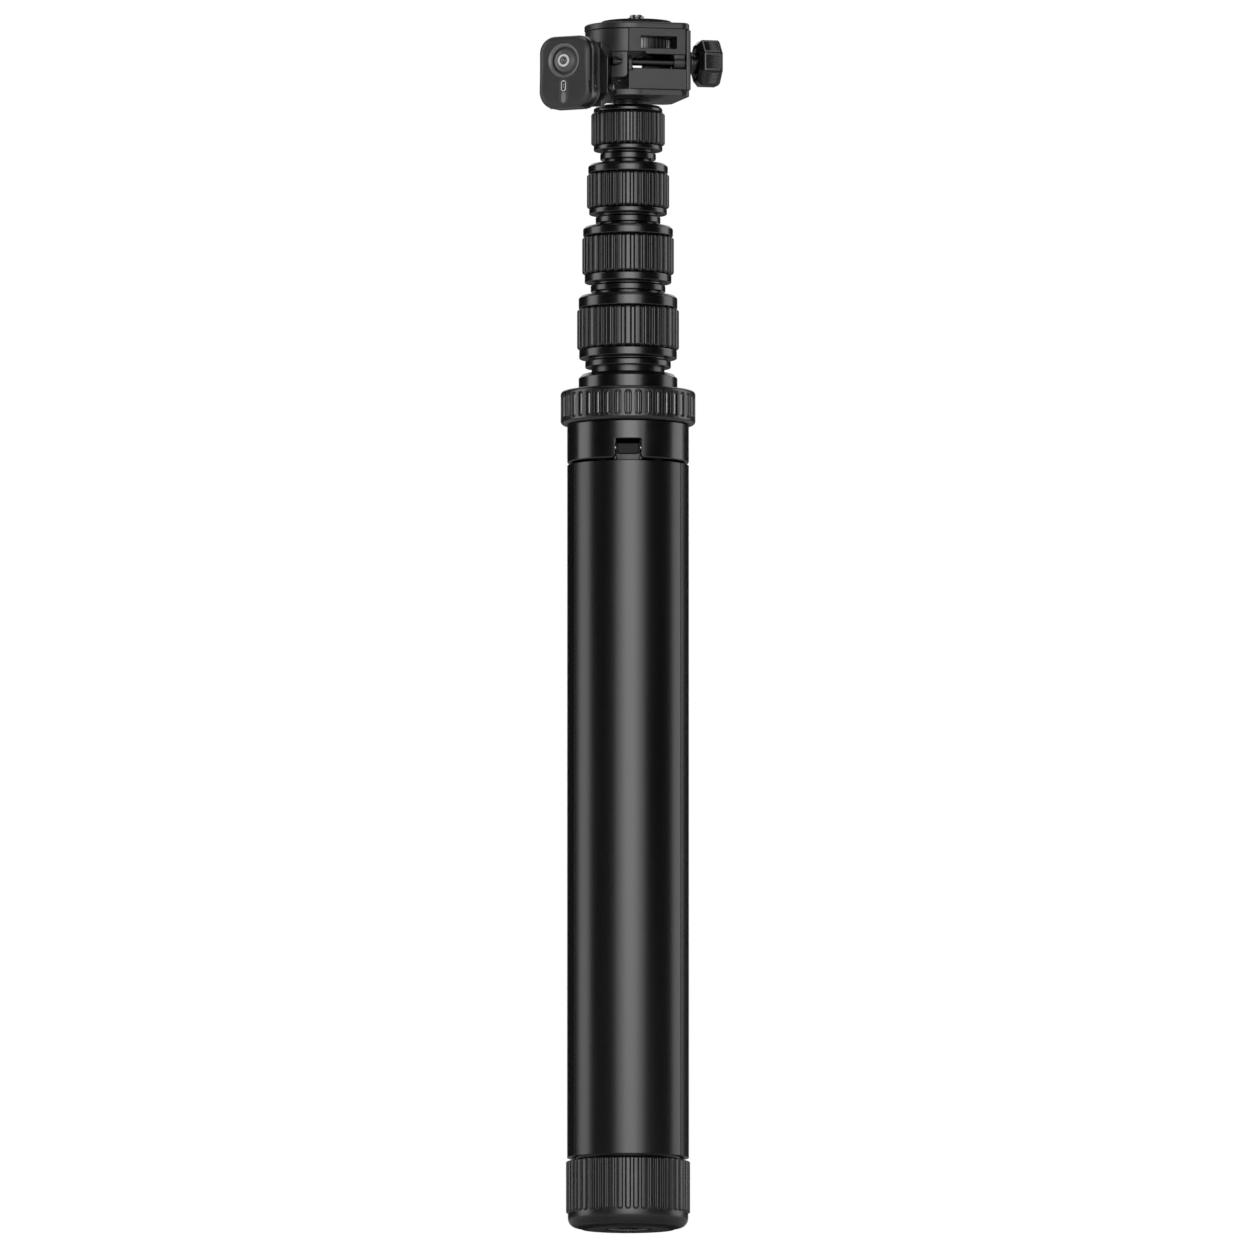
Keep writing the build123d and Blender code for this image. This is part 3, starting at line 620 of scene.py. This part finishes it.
def rest_pad():
    """The rubber rest between the head's blocks, which closes the slot behind the axle."""
    slot_low = 445.3
    slot_tall = 5.4
    top_gap = 0.35
    pad_x = 11.8
    pad_y = 1.5
    pad_w = 3.0
    pad_h = 12.0
    pad_round = 0.3
    axle = Vector(JOINTS["head_tilt"]["axis"]).normalized()
    yaw = atan2(axle.y, axle.x) if axle.x > 0 else atan2(-axle.y, -axle.x)
    head = Matrix.Translation((0, 0, slot_low)) @ Matrix.Rotation(yaw, 4, "Z")
    place = head @ Matrix.Translation((pad_x, pad_y, 0)) @ Matrix.Rotation(pi / 2, 4, "Z")
    pad = stadium("rest_pad", place, 0, pad_w, pad_h, 0.0, slot_tall - top_gap, pad_round)
    added(pad, BODY_OF["head_yoke"], "grip_rubber")


def threaded_screw():
    """The camera screw with its thread, which runs out at the end's chamfer."""
    node = "camera_screw"
    low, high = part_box(node)
    centre = (low + high) / 2 / MM
    shank = (high.x - low.x) / 2 / MM
    bottom, top = low.z / MM, high.z / MM
    columns = 40
    row_step = 0.09
    rows = int((top - bottom) / row_step)
    chamfer_slope = 1.1
    end_inset = 0.1
    end_r = shank - thread_depth - end_inset
    verts = []
    for j in range(rows + 1):
        z = bottom + (top - bottom) * j / rows
        for i in range(columns):
            turn = i / columns
            from_crest = abs((z / thread_pitch - turn) % 1 - 0.5) * 2
            r = shank - thread_depth * min(1, max(0, (from_crest - crest_share) / flank_share))
            x, y = polar(min(r, end_r + (top - z) * chamfer_slope), turn)
            verts.append((centre.x + x, centre.y + y, z))
    faces = stacked_faces(rows + 1, columns) + [cap_face(0, columns), cap_face(rows, columns)]
    obj = new_object("threaded_screw", verts, faces)
    weighted(obj)
    stands_for(obj, node)


def axle_frame():
    """A frame on the knob's axis: x along the axle, z up."""
    joint = JOINTS["knob_turn"]
    along = Vector(joint["axis"]).normalized()
    turn = Matrix((along, UP.cross(along), UP)).transposed().to_4x4()
    return Matrix.Translation(Vector(joint["pos_m"]) / MM) @ turn


def clamp_knob():
    """The eight-sided knob, its facets finely ridged along the axle, and its stem."""
    node = "tilt_knob"
    place = axle_frame()
    reaches = [(place.inverted() @ (v.co / MM)).x for v in NODES[node].data.vertices]
    start = max(reaches) - knob_end_in - knob_length
    apothem = knob_flats / 2
    facet_half = apothem * tan(pi / 8)
    plain_share = 0.8
    ridge_half = 0.72 * facet_half
    corner_drop = 1.25
    ridge_in = knob_inner_chamfer + ridge_margin
    ridge_out = knob_length - knob_chamfer - ridge_margin

    def depth_at(t, ridged):
        """How far the facet is from the axis at a place across it, less at its corners and ridges."""
        rounding = corner_drop * max(0, abs(t) / facet_half - plain_share) ** 2
        if abs(t) > ridge_half + 1e-6:
            return apothem - rounding
        dip = 0.5 - 0.5 * cos(pi * knob_ridges * (t / ridge_half + 1))
        return apothem - ridge_depth * dip * ridged - rounding

    # Places across one facet: its first corner, the ridges, and up to its last corner
    corner_places = [-facet_half * share for share in (1, 0.95, 0.88, plain_share)]
    ridge_steps = 6 * knob_ridges
    across = corner_places + [ridge_half * (2 * k / ridge_steps - 1) for k in range(ridge_steps + 1)]
    across += [-t for t in reversed(corner_places[1:])]

    # Places along the axle, each with how far the facets are drawn in: chamfer, ridges, chamfer and dish
    inner, outer = knob_inner_chamfer, knob_chamfer
    dish_in = outer + 1.0
    dish_floor = knob_length - 0.3
    rows = [(0, inner), (inner / 2, inner / 2), (inner, 0)]
    rows += [(x, 0) for x in (ridge_in, ridge_in + ridge_fade, knob_length / 2, ridge_out - ridge_fade,
                              ridge_out, knob_length - outer)]
    rows += [(knob_length - outer / 2, outer / 2), (knob_length, outer), (knob_length, outer + 0.25),
             (knob_length, dish_in), (dish_floor, dish_in + 0.4), (dish_floor, dish_in + 0.7),
             (dish_floor, apothem)]
    verts = []
    for x, inset in rows:
        size = (apothem - inset) / apothem
        ridged = smoothstep(ridge_in, ridge_in + ridge_fade, x)
        ridged *= 1 - smoothstep(ridge_out - ridge_fade, ridge_out, x)
        for facet in range(8):
            turn = Matrix.Rotation(facet * pi / 4, 3, "X")
            for t in across:
                spot = Vector((start + x, t * size, depth_at(t, ridged) * size))
                verts.append(place @ (turn @ spot))
    ring = 8 * len(across)
    knob = new_object("ridged_knob", verts, stacked_faces(len(rows), ring) + [cap_face(0, ring)])
    weighted(knob)
    stands_for(knob, node)

    low = min(reaches)
    high = start + stem_overlap
    outline = [(stem_bore_r, low), (stem_collar_r, low), (stem_collar_r, low + stem_collar_tall),
               (stem_r, low + stem_shoulder), (stem_r, high), (stem_bore_r, high)]
    stem = lathe("knob_stem", rounded(outline, stem_round), steps=64)
    move_mesh(stem, place @ Matrix.Rotation(pi / 2, 4, "Y"))
    weighted(stem)
    added(stem, BODY_OF[node], SLOT_OF[node])


# Remote

def remote_frame():
    """The remote's own frame: origin in its face's middle, z out of it."""
    out = Vector(JOINTS["remote_release"]["axis"]).normalized()
    flat = Matrix((UP.cross(out), UP, out))
    local = [flat @ (v.co / MM) for v in NODES["remote_front"].data.vertices]
    low = Vector([min(p[i] for p in local) for i in range(3)])
    high = Vector([max(p[i] for p in local) for i in range(3)])
    middle = Vector(((low.x + high.x) / 2, (low.y + high.y) / 2, high.z))
    turn = flat.transposed()
    return Matrix.Translation(turn @ middle) @ turn.to_4x4()


def rounded_reach(direction, half_w, half_h, corner):
    """How far a rounded rectangle's edge is from its middle along a direction, found by halving."""
    low, high = 0.0, hypot(half_w, half_h)
    for _ in range(40):
        middle = (low + high) / 2
        p = direction * middle
        over_x = max(abs(p.x) - (half_w - corner), 0)
        over_y = max(abs(p.y) - (half_h - corner), 0)
        if hypot(over_x, over_y) <= corner:
            low = middle
        else:
            high = middle
    return low


def remote_face(place):
    """The remote's front shell: a dished ring round the button and softly rounded edges, its sides and the
    rim of the button's hole painted darker as painted shade.
    """
    columns = 160
    dish_rows = 6
    dish_curve = 1.6
    edge_rows = 7
    back_round = 0.25
    back_share = 0.985
    inside_share = 0.87
    side_lean = 0.62
    dish_low_share = 0.1
    dish_high_share = 0.95
    hole = button_r + button_gap
    dish_end = hole + dish_w
    centre = Vector((0, button_y))

    def column_at(angle):
        """The shell's closed outline along one direction, as places on the face and heights."""
        direction = Vector((cos(angle), sin(angle)))
        edge = direction * rounded_reach(direction, remote_w / 2, remote_h / 2, remote_corner)
        outward = (edge - centre).normalized()
        reach = (edge - centre).length
        front = [(hole, -remote_wall)]
        for k in range(dish_rows + 1):
            share = k / dish_rows
            front.append((hole + dish_w * share, -dish_depth * (1 - share) ** dish_curve))
        for share in (0.15, 0.5, 0.9, 1.0):
            front.append((dish_end + (reach - remote_edge - dish_end) * share, 0))
        for k in range(1, edge_rows + 1):
            turn = pi / 2 * k / edge_rows
            front.append((reach - remote_edge * (1 - sin(turn)), -remote_edge * (1 - cos(turn))))
        inside = edge * inside_share
        back = [(edge, -remote_depth + back_round), (edge * back_share, -remote_depth),
                (inside, -remote_depth), (inside, -remote_wall)]
        return [(centre + outward * r, z) for r, z in front] + back

    # Painted shade: faces that lean away from the front, and the dish's rim by the hole, get a darker copy
    # of the plastic
    def look_at(spot, normal):
        from_button = (spot - middle).length
        if from_button < hole + dish_w * dish_high_share:
            return 2 if from_button > hole + dish_w * dish_low_share else 1
        return int(normal.dot(out) < side_lean)

    outlines = [column_at(2 * pi * i / columns) for i in range(columns)]
    verts = [place @ Vector((p.x, p.y, z)) for outline in outlines for p, z in outline]
    obj = new_object("remote_face", verts, wrapped_faces(columns, len(outlines[0])))
    weighted(obj)
    stands_for(obj, "remote_front")
    out = place.to_3x3() @ UP
    middle = place @ Vector((0, button_y, 0))
    paint(obj, ["remote_painted_shade", "dish_grey"], look_at)


def button_lathe(name, outline, place):
    """A turned piece about the button's axis."""
    obj = lathe(name, outline, steps=96)
    move_mesh(obj, place @ Matrix.Translation((0, button_y, 0)))
    return obj


def remote_button(place):
    """The domed button, its white ring and its bright middle."""
    axis_r = 0.001
    proud = 0.25
    dome = 0.9
    low = -2.4
    flange_r = 6.0
    flange_top = -1.6
    sphere = (button_r ** 2 + dome ** 2) / (2 * dome)

    def dome_z(r):
        return proud - sphere + sqrt(sphere ** 2 - r * r)

    def on_dome(*rises):
        """Places at these radii, each by its rise over the dome."""
        return [(r, dome_z(r) + rise) for r, rise in rises]

    side = [(axis_r, low), (flange_r, low), (flange_r, flange_top), (button_r, flange_top)]
    side += on_dome((button_r, -0.15))
    top = on_dome(*((r, 0) for r in (4.25, 4.1, 3.8, 3.3, 2.8, 2.2, 1.6, 0.8, axis_r)))
    stands_for(button_lathe("domed_button", side + top, place), "remote_button")
    ring = on_dome((1.62, -0.1), (1.62, 0.02), (1.7, 0.04), (2.35, 0.04), (2.43, 0.02), (2.43, -0.1))
    added(button_lathe("button_ring", ring, place), "button", "button_plastic", "icon_white")
    middle = [(axis_r, proud - 0.2), (0.95, proud - 0.2)]
    middle += on_dome((0.95, 0.02), (0.85, 0.045), (0.4, 0.035), (axis_r, 0.03))
    added(button_lathe("button_middle", middle, place), "button", "bright_steel")


def stadium(name, place, y, w, h, low, high, edge):
    """A round-ended bar that stands on a frame's face, from low to high, with its top edge rounded."""
    points = 48
    radius = w / 2
    straight = h / 2 - radius
    sections = ((0, low), (0, high - edge), (0.3 * edge, high - 0.3 * edge), (edge, high))
    verts = []
    for inset, z in sections:
        for i in range(points):
            across, along = polar(radius - inset, i / points)
            along += straight if i < points / 2 else -straight
            verts.append(place @ Vector((across, y + along, z)))
    last = len(sections) - 1
    faces = stacked_faces(len(sections), points) + [cap_face(0, points), cap_face(last, points)]
    return new_object(name, verts, faces)


def side_frame(place):
    """A frame on the remote's right side: y up the side, z out of it."""
    side_z = -remote_depth / 2 - remote_edge / 3
    return place @ Matrix.Translation((remote_w / 2, 0, side_z)) @ Matrix.Rotation(pi / 2, 4, "Y")


def remote_trim(place):
    """The status window and the light strip below the button, and a slot and a dot on the side."""
    window_y = -5.5
    side = side_frame(place)
    # Name, finish, frame, place up the frame, width, height, low end, high end and rounding
    pieces = (("strip_band", "strip_band", place, -7.6, 4.2, 9.6, -0.4, 0.04, 0.03),
              ("window_rim", "icon_white", place, window_y, 2.1, 4.2, -0.4, 0.12, 0.08),
              ("window_glass", "strip_black", place, window_y, 1.35, 3.4, -0.4, 0.15, 0.03),
              ("window_light", "strip_grey", place, window_y, 0.6, 2.1, -0.4, 0.18, 0.03),
              ("light_strip", "strip_grey", place, -9.9, 1.9, 4.2, -0.4, 0.10, 0.05),
              ("side_slot", "strip_black", side, 0.6, 0.9, 4.2, -0.3, 0.02, 0.01),
              ("side_dot", "strip_grey", side, -5.7, 0.7, 0.72, -0.3, 0.04, 0.02))
    for name, look, *shape in pieces:
        added(stadium(name, *shape), "remote", "remote_plastic", look)


# Finishes

class Finish:
    """A node material. Texture places are in millimetres on the piece."""

    def __init__(self, name):
        self.material = bpy.data.materials.new(name)
        self.material.use_nodes = True
        self.tree = self.material.node_tree
        self.shader = self.tree.nodes["Principled BSDF"]
        coords = self.tree.nodes.new("ShaderNodeTexCoord")
        scale = self.tree.nodes.new("ShaderNodeMapping")
        scale.inputs["Scale"].default_value = (1 / MM, 1 / MM, 1 / MM)
        self.tree.links.new(coords.outputs["Object"], scale.inputs["Vector"])
        self.place = scale.outputs["Vector"]

    def noise(self, per_mm, detail, stretch):
        """A cloudy value; a stretch below 1 draws it out along that axis."""
        squeeze = self.tree.nodes.new("ShaderNodeMapping")
        squeeze.inputs["Scale"].default_value = stretch
        node = self.tree.nodes.new("ShaderNodeTexNoise")
        node.inputs["Scale"].default_value = per_mm
        node.inputs["Detail"].default_value = detail
        self.tree.links.new(self.place, squeeze.inputs["Vector"])
        self.tree.links.new(squeeze.outputs["Vector"], node.inputs["Vector"])
        return node.outputs["Fac"]

    def ramp(self, source, start, end, low, high):
        """A value that goes from low to high as the source goes from start to end."""
        node = self.tree.nodes.new("ShaderNodeMapRange")
        for name, value in (("From Min", start), ("From Max", end), ("To Min", low), ("To Max", high)):
            node.inputs[name].default_value = value
        self.tree.links.new(source, node.inputs["Value"])
        return node.outputs["Result"]

    def colours(self, source, dark, light):
        """The colour goes from dark to light as the source goes from 0 to 1."""
        node = self.tree.nodes.new("ShaderNodeMix")
        node.data_type = "RGBA"
        node.inputs["A"].default_value = (*dark, 1)
        node.inputs["B"].default_value = (*light, 1)
        self.tree.links.new(source, node.inputs["Factor"])
        self.tree.links.new(node.outputs["Result"], self.shader.inputs["Base Color"])

    def bump(self, source, height_mm):
        """The source raises the surface by up to this height."""
        node = self.tree.nodes.new("ShaderNodeBump")
        node.inputs["Strength"].default_value = 1.0
        node.inputs["Distance"].default_value = height_mm * MM
        self.tree.links.new(source, node.inputs["Height"])
        self.tree.links.new(node.outputs["Normal"], self.shader.inputs["Normal"])


even = (1, 1, 1)
drawn = (1, 1, 0.06)


def finish(name, dark, light, rough, grain_per_mm, grain_mm, metallic=0.0, specular=0.5, stretch=even):
    """A finish with cloudy colour, uneven gloss and a fine grain."""
    clouds_per_mm = 0.12
    made = Finish(name)
    made.shader.inputs["Metallic"].default_value = metallic
    made.shader.inputs["Specular IOR Level"].default_value = specular
    clouds = made.noise(clouds_per_mm, 4.0, stretch)
    made.colours(clouds, dark, light)
    uneven = made.ramp(clouds, 0.3, 0.7, *rough)
    made.tree.links.new(uneven, made.shader.inputs["Roughness"])
    made.bump(made.noise(grain_per_mm, 2.0, stretch), grain_mm)
    return made.material


def painted_shade_above(name, low, high, level, rough):
    """A satin metal that changes its colour at a height on the piece, used to paint shade on a facet."""
    half_band = 0.15
    made = Finish(name)
    made.shader.inputs["Metallic"].default_value = 1.0
    made.shader.inputs["Roughness"].default_value = rough
    axes = made.tree.nodes.new("ShaderNodeSeparateXYZ")
    made.tree.links.new(made.place, axes.inputs["Vector"])
    step = made.ramp(axes.outputs["Z"], level - half_band, level + half_band, 0, 1)
    made.colours(step, low, high)
    made.bump(made.noise(9.0, 2.0, drawn), 0.001)
    return made.material


def grey(value):
    """A grey of this brightness."""
    return (value, value, value)


def make_finishes():
    """The finishes by name: those of the CAD slots, and those that some pieces have instead."""
    # Dark and light grey, roughness from and to, grains per millimetre and their height
    metals = {
        "bright_steel": (0.55, 0.68, 0.2, 0.3, 8.0, 0.002),
        "dark_steel": (0.10, 0.16, 0.28, 0.38, 8.0, 0.002),
        "axle_dark": (0.05, 0.08, 0.26, 0.32, 8.0, 0.002),
        "wheel_metal": (0.16, 0.22, 0.34, 0.42, 8.0, 0.002),
        "bar_metal": (0.24, 0.30, 0.34, 0.40, 8.0, 0.001),
    }
    drawn_metals = {
        "leg_metal": (0.070, 0.078, 0.26, 0.29, 9.0, 0.0012),
        "tube_metal": (0.068, 0.08, 0.24, 0.3, 9.0, 0.001),
    }
    # The same, and then the specular level
    plastics = {
        "black_plastic": (0.0010, 0.0018, 0.21, 0.25, 7.0, 0.0015, 1.0),
        "head_metal": (0.014, 0.019, 0.34, 0.40, 6.0, 0.014, 0.9),
        "grip_rubber": (0.004, 0.006, 0.26, 0.32, 6.0, 0.002, 1.0),
        "foot_rubber": (0.016, 0.024, 0.5, 0.6, 4.0, 0.008, 0.5),
        "star_grey": (0.42, 0.50, 0.36, 0.42, 5.0, 0.002, 0.6),
        "foot_grey": (0.10, 0.13, 0.36, 0.42, 5.0, 0.002, 0.6),
        "pad_black": (0.006, 0.009, 0.6, 0.7, 5.0, 0.006, 0.3),
        "inner_plastic": (0.5, 0.6, 0.4, 0.5, 5.0, 0.003, 0.5),
        "remote_plastic": (0.044, 0.054, 0.38, 0.44, 8.0, 0.004, 0.5),
        # Painted shade: a darker copy of the remote's plastic for its sides and the button's hole
        "remote_painted_shade": (0.008, 0.012, 0.24, 0.30, 8.0, 0.002, 1.0),
        "dish_grey": (0.15, 0.18, 0.26, 0.32, 8.0, 0.002, 0.8),
        "button_plastic": (0.10, 0.13, 0.24, 0.3, 8.0, 0.002, 0.5),
        "icon_white": (0.78, 0.85, 0.4, 0.48, 8.0, 0.001, 0.5),
        "strip_band": (0.075, 0.09, 0.3, 0.36, 8.0, 0.001, 0.5),
        "strip_black": (0.006, 0.008, 0.16, 0.22, 8.0, 0.0005, 0.5),
        "strip_grey": (0.22, 0.28, 0.3, 0.36, 8.0, 0.001, 0.5),
    }
    made = {}
    for rows, stretch in ((metals, even), (drawn_metals, drawn)):
        for name, (dark, light, smooth, rough, per_mm, height) in rows.items():
            made[name] = finish(name, grey(dark), grey(light), (smooth, rough), per_mm, height,
                                metallic=1.0, stretch=stretch)
    for name, (dark, light, smooth, rough, per_mm, height, specular) in plastics.items():
        made[name] = finish(name, grey(dark), grey(light), (smooth, rough), per_mm, height,
                            specular=specular)
    made["board"] = finish("board", (0.01, 0.11, 0.05), (0.02, 0.17, 0.08), (0.3, 0.4), 5.0, 0.003)
    # Painted shade: the hinge's facet above the tongue is painted darker than the tongue
    made["hinge_painted_shade"] = painted_shade_above("hinge_painted_shade", grey(0.05), grey(0.012), tongue_shade_low, 0.3)
    return made


def dress_nodes():
    """Every CAD node gets the finish of its slot, or another where the photo shows one."""
    looks = {"tilt_axle": "axle_dark", "screw_wheel": "wheel_metal", "top_pad": "pad_black",
             "remote_holder": "head_metal"}
    looks.update({f"leg_hinge_{number}": "hinge_painted_shade" for number in LEGS})
    for name, node in NODES.items():
        node.data.materials.clear()
        node.data.materials.append(finishes[looks.get(name, SLOT_OF[name])])


def make_pieces():
    """The pieces that stand for CAD nodes, the extra ones, and the softened CAD nodes."""
    for node in ("hub_top_collar", "neck_plug"):
        turned_again(node, outline_of(node), plain_round)
    for number in LOCKS:
        node = f"lock_nut_{number}"
        turned_again(node, outline_of(node), nut_round)
    for number in LOCKS:
        lock_base(number)
        ribbed_grip(number)
    lock_ring()
    base_cap()
    foot_disc()
    threaded_screw()
    rest_pad()
    clamp_knob()
    place = remote_frame()
    remote_face(place)
    remote_button(place)
    remote_trim(place)
    for node, width in soft_widths.items():
        soften(node, width)


# Stage, lights and camera

def math_node(tree, operation, first, second):
    """The result of a math node, each input a number or another node's output."""
    node = tree.nodes.new("ShaderNodeMath")
    node.operation = operation
    for socket, value in zip(node.inputs, (first, second)):
        if isinstance(value, (int, float)):
            socket.default_value = value
        else:
            tree.links.new(value, socket)
    return node.outputs[0]


def joined(tree, kind, *sources):
    """The output of a node that joins these sources, in the order of its sockets."""
    node = tree.nodes.new(kind)
    for socket, source in zip(node.inputs, sources):
        tree.links.new(source, socket)
    return node.outputs[0]


def background(tree, strength):
    """A white background of this strength."""
    node = tree.nodes.new("ShaderNodeBackground")
    node.inputs["Color"].default_value = (1, 1, 1, 1)
    node.inputs["Strength"].default_value = strength
    return node.outputs[0]


def world():
    """White to the camera and a dim room to everything else.

    Glossy and transmission rays see the white too, but only in a narrow cone behind the object,
    and above the horizon.
    """
    backdrop_half = radians(14)
    room = 0.015
    made = bpy.data.worlds.new("studio")
    bpy.context.scene.world = made
    made.use_nodes = True
    tree = made.node_tree
    tree.nodes.clear()
    path = tree.nodes.new("ShaderNodeLightPath").outputs
    direction = tree.nodes.new("ShaderNodeTexCoord")
    axes = tree.nodes.new("ShaderNodeSeparateXYZ")
    tree.links.new(direction.outputs["Generated"], axes.inputs["Vector"])
    behind = math_node(tree, "GREATER_THAN", axes.outputs["Y"], cos(backdrop_half))
    above = math_node(tree, "GREATER_THAN", axes.outputs["Z"], 0.0)
    backdrop = math_node(tree, "MULTIPLY", behind, above)
    mirrors = math_node(tree, "MAXIMUM", path["Is Glossy Ray"], path["Is Transmission Ray"])
    in_mirror = math_node(tree, "MULTIPLY", mirrors, backdrop)
    sees_white = math_node(tree, "MAXIMUM", path["Is Camera Ray"], in_mirror)
    sky = joined(tree, "ShaderNodeMixShader", sees_white, background(tree, room), background(tree, 1.0))
    out = tree.nodes.new("ShaderNodeOutputWorld")
    tree.links.new(sky, out.inputs["Surface"])


def floor():
    """A pale floor, which is see-through from below, where the camera stands.

    It casts no shadow, so the low light reaches the foot. Camera rays see it brighter, and brighter
    still farther out, where the lights stand.
    """
    near, far = 0.7, 1.5
    near_glow, far_glow = 0.6, 1.0
    half = 4.5 / MM
    obj = new_object("floor", [(-half, -half, 0), (half, -half, 0), (half, half, 0), (-half, half, 0)],
                     [(0, 1, 2, 3)])
    if obj.data.polygons[0].normal.z < 0:
        obj.data.flip_normals()
    made = bpy.data.materials.new("floor")
    made.use_nodes = True
    tree = made.node_tree
    shader = tree.nodes["Principled BSDF"]
    shader.inputs["Base Color"].default_value = (0.8, 0.8, 0.8, 1)
    shader.inputs["Roughness"].default_value = 0.9
    path = tree.nodes.new("ShaderNodeLightPath").outputs
    side = tree.nodes.new("ShaderNodeNewGeometry")
    spot = tree.nodes.new("ShaderNodeTexCoord")
    away = tree.nodes.new("ShaderNodeVectorMath")
    away.operation = "LENGTH"
    extra = tree.nodes.new("ShaderNodeMapRange")
    for name, value in (("From Min", near), ("From Max", far), ("To Min", near_glow), ("To Max", far_glow)):
        extra.inputs[name].default_value = value
    tree.links.new(spot.outputs["Object"], away.inputs[0])
    tree.links.new(away.outputs["Value"], extra.inputs["Value"])
    pale = tree.nodes.new("ShaderNodeEmission")
    strength = math_node(tree, "MULTIPLY", path["Is Camera Ray"], extra.outputs["Result"])
    tree.links.new(strength, pale.inputs["Strength"])
    lit = joined(tree, "ShaderNodeAddShader", shader.outputs[0], pale.outputs[0])
    clear = tree.nodes.new("ShaderNodeBsdfTransparent")
    through = math_node(tree, "MAXIMUM", side.outputs["Backfacing"], path["Is Shadow Ray"])
    surface = joined(tree, "ShaderNodeMixShader", through, lit, clear.outputs[0])
    tree.links.new(surface, tree.nodes["Material Output"].inputs["Surface"])
    obj.data.materials.append(made)


def softbox(name, azimuth, distance, height, width, tall, radiance, aim_z):
    """A soft light that stands round the object, azimuth 0 in front and 90 to the right."""
    data = bpy.data.lights.new(name, "AREA")
    data.shape = "RECTANGLE"
    data.size = width
    data.size_y = tall
    data.energy = radiance * pi * width * tall
    obj = linked(name, data)
    angle = radians(azimuth)
    obj.location = (distance * sin(angle), -distance * cos(angle), height)
    aim = Vector((0, 0, aim_z)) - obj.location
    obj.rotation_mode = "QUATERNION"
    obj.rotation_quaternion = aim.to_track_quat("-Z", "Y")
    obj.visible_camera = False


def lights():
    """A broad front light with a brighter middle, a light on each side, and some above, behind and below."""
    # Azimuth, distance, height, width, length, radiance and the height it aims at
    softbox("front_light", 4, 1.7, 0.35, 0.8, 1.8, 1.35, 0.2)
    softbox("front_wide_light", 4, 1.8, 0.35, 1.75, 1.8, 1.4, 0.2)
    softbox("left_light", -92, 1.3, 0.4, 0.68, 1.8, 1.65, 0.2)
    softbox("right_light", 109, 1.3, 0.4, 0.78, 1.8, 1.4, 0.2)
    softbox("top_light", 0, 0.01, 1.8, 0.8, 0.8, 1.5, 0.2)
    softbox("back_light", 180, 1.5, 1.3, 1.6, 1.0, 1.2, 0.2)
    softbox("low_light", 0, 0.02, -0.13, 0.07, 0.07, 1.7, 0.0)


def camera():
    """A very long lens, a little below the object and looking up."""
    view_w = 0.4803
    elevation = radians(-5.5)
    middle = Vector((-0.0004, 0, 0.2315))
    data = bpy.data.cameras.new("camera")
    data.lens = 1200.0
    data.sensor_width = 36.0
    data.clip_start = 1
    data.clip_end = 100
    distance = view_w * data.lens / data.sensor_width
    back = Vector((0, -cos(elevation), sin(elevation)))
    obj = linked("camera", data)
    obj.location = middle + back * distance
    obj.rotation_mode = "QUATERNION"
    obj.rotation_quaternion = (-back).to_track_quat("-Z", "Y")
    bpy.context.scene.camera = obj


finishes = make_finishes()
smooth_shading = make_smooth_shading()
dress_nodes()
make_pieces()
world()
floor()
lights()
camera()
bpy.context.scene.view_settings.view_transform = "Standard"
